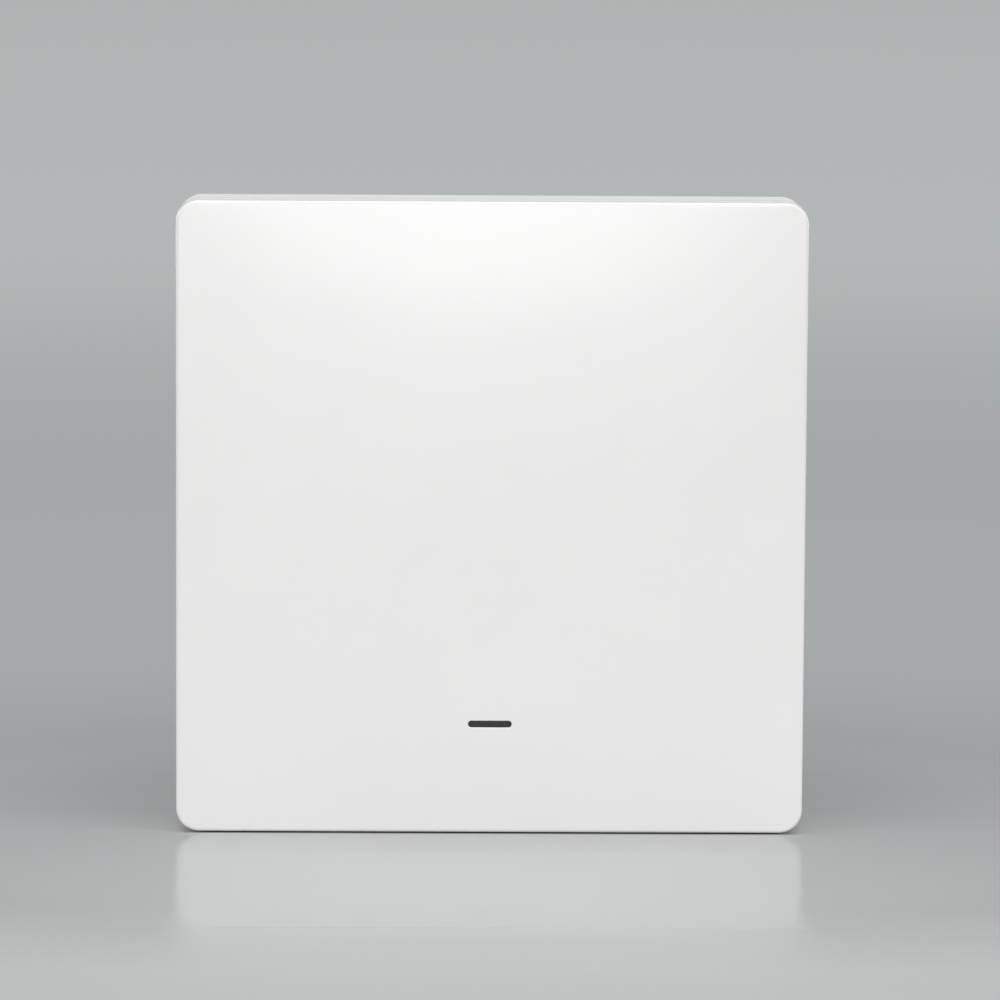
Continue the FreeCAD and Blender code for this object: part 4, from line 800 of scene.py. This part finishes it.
def pad_slab(name, width, height, rear, front, edge, look, stands_for=(), half=None):
    """A flat slab with rounded corners. An upper (1) or lower (-1) half ends in a waved cut."""
    corner, corner_steps, wave_steps, steps_per_wave, wave_height, half_gap = 2.0, 8, 40, 20, 1.6, 0.06
    outline = []
    for quarter, (cx, cz) in enumerate(((1, 1), (-1, 1), (-1, -1), (1, -1))):
        for k in range(corner_steps + 1):
            t = (quarter + k / corner_steps) * math.pi / 2
            outline.append((cx * (width / 2 - corner) + corner * math.cos(t),
                            cz * (height / 2 - corner) + corner * math.sin(t)))
    if half is not None:
        wave = [(width / 2 - width * k / wave_steps,
                 half * half_gap + wave_height * math.sin(math.tau * k / steps_per_wave))
                for k in range(wave_steps + 1)]
        kept = [p for p in outline if (p[1] < 0) == (half < 0)]
        outline = (wave if half < 0 else wave[::-1]) + kept
    bm = bmesh.new()
    face = bm.faces.new([bm.verts.new(spot(x, rear, z)) for x, z in outline])
    grown = bmesh.ops.extrude_face_region(bm, geom=[face])
    verts = [v for v in grown["geom"] if isinstance(v, bmesh.types.BMVert)]
    bmesh.ops.translate(bm, verts=verts, vec=spot(0, front - rear, 0))
    bmesh.ops.recalc_face_normals(bm, faces=bm.faces)
    rims = [e for e in bm.edges if len(e.link_faces) == 2 and e.calc_face_angle(0) > 1.2]
    bmesh.ops.bevel(bm, geom=rims, offset=edge * MM, segments=2, profile=0.5, affect="EDGES")
    piece(name, bm, "wall_plate", look, slot="foam_tape", stands_for=stands_for, crease=15)


def adhesive_pad():
    """Foam core and a split release liner towards the wall."""
    paper, inset = 0.09, 0.08
    low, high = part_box("adhesive_pad")
    width, height = (high.x - low.x) / MM, (high.z - low.z) / MM
    pad_slab("adhesive_pad_foam", width - inset, height - inset, 0.1, -low.y / MM, 0.05, foam_grey,
             ("adhesive_pad",))
    pad_slab("release_liner_upper", width, height, 0.0, paper, 0.02, release_paper, half=1)
    pad_slab("release_liner_lower", width, height, 0.0, paper, 0.02, release_paper, half=-1)


coin_cell()
battery_clip()
screw_set()
tracks("board_tracks_front", FRONT_RUNS, BOARD_FRONT, FRONT_RUN_RADIUS)
tracks("board_tracks_back", BACK_RUNS, BOARD_BACK, BACK_RUN_RADIUS)
board_pads()
board_vias()
solder_joints()
board_legend()
chip_row()
radio_chip()
adhesive_pad()


# ---- Stage, lights and camera

# The sheet's own colour, from 0.3 m in front of the wall plane (0) to 0.06 m behind it (1).
STAGE_SHADES = [(0.0, (0.06, 0.062, 0.063)), (0.28, (0.08, 0.082, 0.083)), (0.42, (0.5, 0.51, 0.515)),
                (0.53, (0.497, 0.507, 0.512)), (0.64, (0.38, 0.388, 0.392)), (0.83, (0.305, 0.315, 0.32)),
                (0.9, (0.28, 0.29, 0.295))]
# Painted contact shadow at the switch's foot, with a painted bright band just in front of it.
# How strongly the seen grey shows under the switch, from front to back, as shares of CONTACT_PEAK.
PAINTED_CONTACT_SHADES = [(0.0, 0.4), (0.1, 0.35), (0.2, 0.34), (0.31, 0.32), (0.39, 0.44), (0.43, 0.6), (0.47, 1.0),
                  (0.51, 0.0), (0.9, 0.0), (1.0, 0.4)]
CONTACT_PEAK = 2.5
# The grey that the eye sees on the sheet, from the switch (0) out along the floor and up the backdrop (1).
BACKDROP_SHADES = [
    (0.0, (0.12, 0.12, 0.12)), (0.02, (0.08, 0.081, 0.081)), (0.05, (0.142, 0.146, 0.146)),
    (0.094, (0.217, 0.223, 0.224)), (0.128, (0.278, 0.287, 0.29)), (0.16, (0.339, 0.351, 0.355)),
    (0.177, (0.369, 0.383, 0.385)), (0.2, (0.378, 0.392, 0.394)), (0.216, (0.381, 0.395, 0.396)),
    (0.26, (0.395, 0.415, 0.415)), (0.4, (0.445, 0.46, 0.46)), (0.52, (0.455, 0.475, 0.475)),
    (0.7, (0.445, 0.46, 0.46)), (0.96, (0.355, 0.37, 0.375)),
]


def seen_ray(tree):
    """1 for rays that show the surroundings directly, in gloss or through glass, 0 for rays that light."""
    path = tree.nodes.new("ShaderNodeLightPath")
    total = path.outputs["Is Camera Ray"]
    for label in ("Is Glossy Ray", "Is Transmission Ray"):
        larger = tree.nodes.new("ShaderNodeMath")
        larger.operation = "MAXIMUM"
        tree.links.new(total, larger.inputs[0])
        tree.links.new(path.outputs[label], larger.inputs[1])
        total = larger.outputs[0]
    return total


def stage_grey():
    """Pale satin grey, glossier under the switch than in front of it, and an even grey to the eye far off."""
    s = Surface("stage_grey", IOR=1.15)
    x, y, z = s.axes()
    flat = s.node("ShaderNodeMapping", {"Vector": s.where, "Scale": (1, 1, 0)}).outputs[0]
    away = s.node("ShaderNodeVectorMath", {0: flat}, operation="LENGTH").outputs["Value"]
    far = s.between(away, 0.0, 1.0, (0.08, 0.5))
    near = s.math("SUBTRACT", 1.0, far)
    lit = s.ramp(s.between(y, 0.0, 1.0, (-0.3, 0.06)), STAGE_SHADES)
    rough = s.between(y, 0.62, 0.18, (-0.128, -0.07))

    # The gloss fades with a power, because at a flat angle even a low level still reflects strongly.
    fade = s.math("POWER", s.between(away, 1.0, 0.0, (0.15, 0.5)), 3.0)
    gloss = s.math("MULTIPLY", s.math("MULTIPLY", near, fade), s.between(y, 0.2, 0.5, (-0.15, -0.08)))
    s.feed("Specular IOR Level", gloss)

    # Level of the seen grey: painted contact shade under the switch, painted soft shadow beside and behind
    # it.
    contact = s.math("MULTIPLY", CONTACT_PEAK, s.ramp(s.between(y, 0.0, 1.0, (-0.03, 0.002)), PAINTED_CONTACT_SHADES))
    sideways = s.math("ABSOLUTE", x)
    beneath = s.between(sideways, 1.0, 0.0, (0.0385, 0.043))
    level = s.math("ADD", 1.0, s.math("MULTIPLY", beneath, s.math("SUBTRACT", contact, 1.0)))
    beside = s.between(sideways, 1.0, 0.0, (0.043, 0.072))
    behind = s.math("MULTIPLY", s.between(y, 0.0, 1.0, (-0.013, 0.004)),
                    s.between(y, 0.55, 0.0, (0.035, 0.095)))
    level = s.math("MULTIPLY", level, s.math("SUBTRACT", 1.0, s.math("MULTIPLY", beside, behind)))
    s.feed("Emission Strength", s.math("MULTIPLY", level, seen_ray(s.tree)))

    backdrop = s.ramp(s.between(s.math("ADD", away, z), 0.0, 1.0, (0.0, 2.5)), BACKDROP_SHADES)
    foreground = s.math("MULTIPLY", near, s.between(y, 0.19, 0.0, (-0.23, -0.16)))
    seen = s.node("ShaderNodeVectorMath", {0: backdrop, 1: foreground}, operation="ADD").outputs[0]
    s.feed("Emission Color", seen)
    return s.finish(s.blend(far, lit, (0.0, 0.0, 0.0)), rough)


def stage_sheet():
    """One sheet: flat under the switch, and sweeping up far behind it."""
    half_width, bend_y, bend_radius, top = 2500.0, 1400.0, 900.0, 3000.0
    profile = [(y, FLOOR) for y in (-2500.0, -600.0, -130.0, -60.0, 0.0, 200.0, 600.0, 1000.0, bend_y)]
    for k in range(1, 19):
        t = math.radians(5 * k)
        profile.append((bend_y + bend_radius * math.sin(t), FLOOR + bend_radius * (1 - math.cos(t))))
    profile.append((bend_y + bend_radius, top))
    bm = bmesh.new()
    rows = [[bm.verts.new(Vector((x, y, z)) * MM) for x in (-half_width, half_width)] for y, z in profile]
    for first, second in zip(rows, rows[1:]):
        bm.faces.new((first[0], first[1], second[1], second[0]))
    mesh = bpy.data.meshes.new("stage_sheet")
    bm.to_mesh(mesh)
    bm.free()
    mesh.polygons.foreach_set("use_smooth", [True] * len(mesh.polygons))
    mesh.materials.append(stage_grey())
    sheet = bpy.data.objects.new("stage_sheet", mesh)
    bpy.context.scene.collection.objects.link(sheet)


def studio_world():
    """An even grey room: the same grey to the eye as the backdrop, and a soft fill for the object."""
    world = bpy.data.worlds.new("studio")
    world.use_nodes = True
    tree = world.node_tree
    fill = tree.nodes["Background"]
    fill.inputs["Color"].default_value = (1.0, 1.0, 1.0, 1.0)
    fill.inputs["Strength"].default_value = 0.51
    shown = tree.nodes.new("ShaderNodeBackground")
    shown.inputs["Color"].default_value = (0.41, 0.425, 0.43, 1.0)
    shown.inputs["Strength"].default_value = 1.0
    both = tree.nodes.new("ShaderNodeMixShader")
    tree.links.new(seen_ray(tree), both.inputs[0])
    tree.links.new(fill.outputs[0], both.inputs[1])
    tree.links.new(shown.outputs[0], both.inputs[2])
    tree.links.new(both.outputs[0], tree.nodes["World Output"].inputs["Surface"])
    bpy.context.scene.world = world


def softbox(name, at, width, height, watts, aim=(0, 0, 0)):
    """A rectangular soft light that the camera doesn't see."""
    lamp = bpy.data.lights.new(name, "AREA")
    lamp.shape, lamp.size, lamp.size_y, lamp.energy = "RECTANGLE", width, height, watts
    made = bpy.data.objects.new(name, lamp)
    made.location = at
    made.rotation_mode = "QUATERNION"
    made.rotation_quaternion = (Vector(aim) - Vector(at)).to_track_quat("-Z", "Y")
    made.visible_camera = False
    bpy.context.scene.collection.objects.link(made)


def keep_off(lamp, surface):
    """Flags a lamp off one surface."""
    shaded = bpy.data.collections.new(f"{lamp}_shaded")
    shaded.objects.link(bpy.data.objects[surface])
    shaded.collection_objects[0].light_linking.link_state = "EXCLUDE"
    bpy.data.objects[lamp].light_linking.receiver_collection = shaded


def camera():
    """The photograph's view: solved from the edges of the key and the housing."""
    azimuth, elevation, roll = math.radians(-0.75), math.radians(6.25), math.radians(0.34)
    aim, distance = Vector((1.22, -13.0, 2.46)) * MM, 0.729
    back = Vector((math.sin(azimuth) * math.cos(elevation), -math.cos(azimuth) * math.cos(elevation),
                   math.sin(elevation)))
    right = (-back).cross(Vector((0, 0, 1))).normalized()
    up = right.cross(-back)
    across = math.cos(roll) * right + math.sin(roll) * up
    upright = math.cos(roll) * up - math.sin(roll) * right
    data = bpy.data.cameras.new("camera")
    data.sensor_width, data.lens = 36.0, 194.2
    data.clip_start, data.clip_end = 0.05, 20.0
    made = bpy.data.objects.new("camera", data)
    made.matrix_world = (Matrix.Translation(aim + back * distance)
                         @ Matrix((across, upright, back)).transposed().to_4x4())
    bpy.context.scene.collection.objects.link(made)
    bpy.context.scene.camera = made


stage_sheet()
softbox("front_panel", (-0.02, -1.17, 0.27), 0.34, 0.5, 5.5)
softbox("left_softbox", (-1.1, -0.5, 0.6), 0.6, 0.7, 2.6)
softbox("right_softbox", (1.1, -0.5, 0.6), 0.6, 0.7, 3.3)
softbox("high_softbox", (0.0, -1.5, 1.35), 1.4, 0.8, 2.6)
softbox("top_softbox", (0.0, 0.0, 1.1), 1.0, 1.0, 4.5, (0, 0.02, 0))
softbox("rear_left_softbox", (-0.95, 0.95, 0.12), 0.6, 0.6, 6.5)
softbox("rear_right_softbox", (0.95, 0.95, 0.12), 0.6, 0.6, 6.5)
for lamp in ("front_panel", "rear_left_softbox", "rear_right_softbox"):
    keep_off(lamp, "stage_sheet")
studio_world()
bpy.context.scene.view_settings.view_transform = "Standard"
camera()
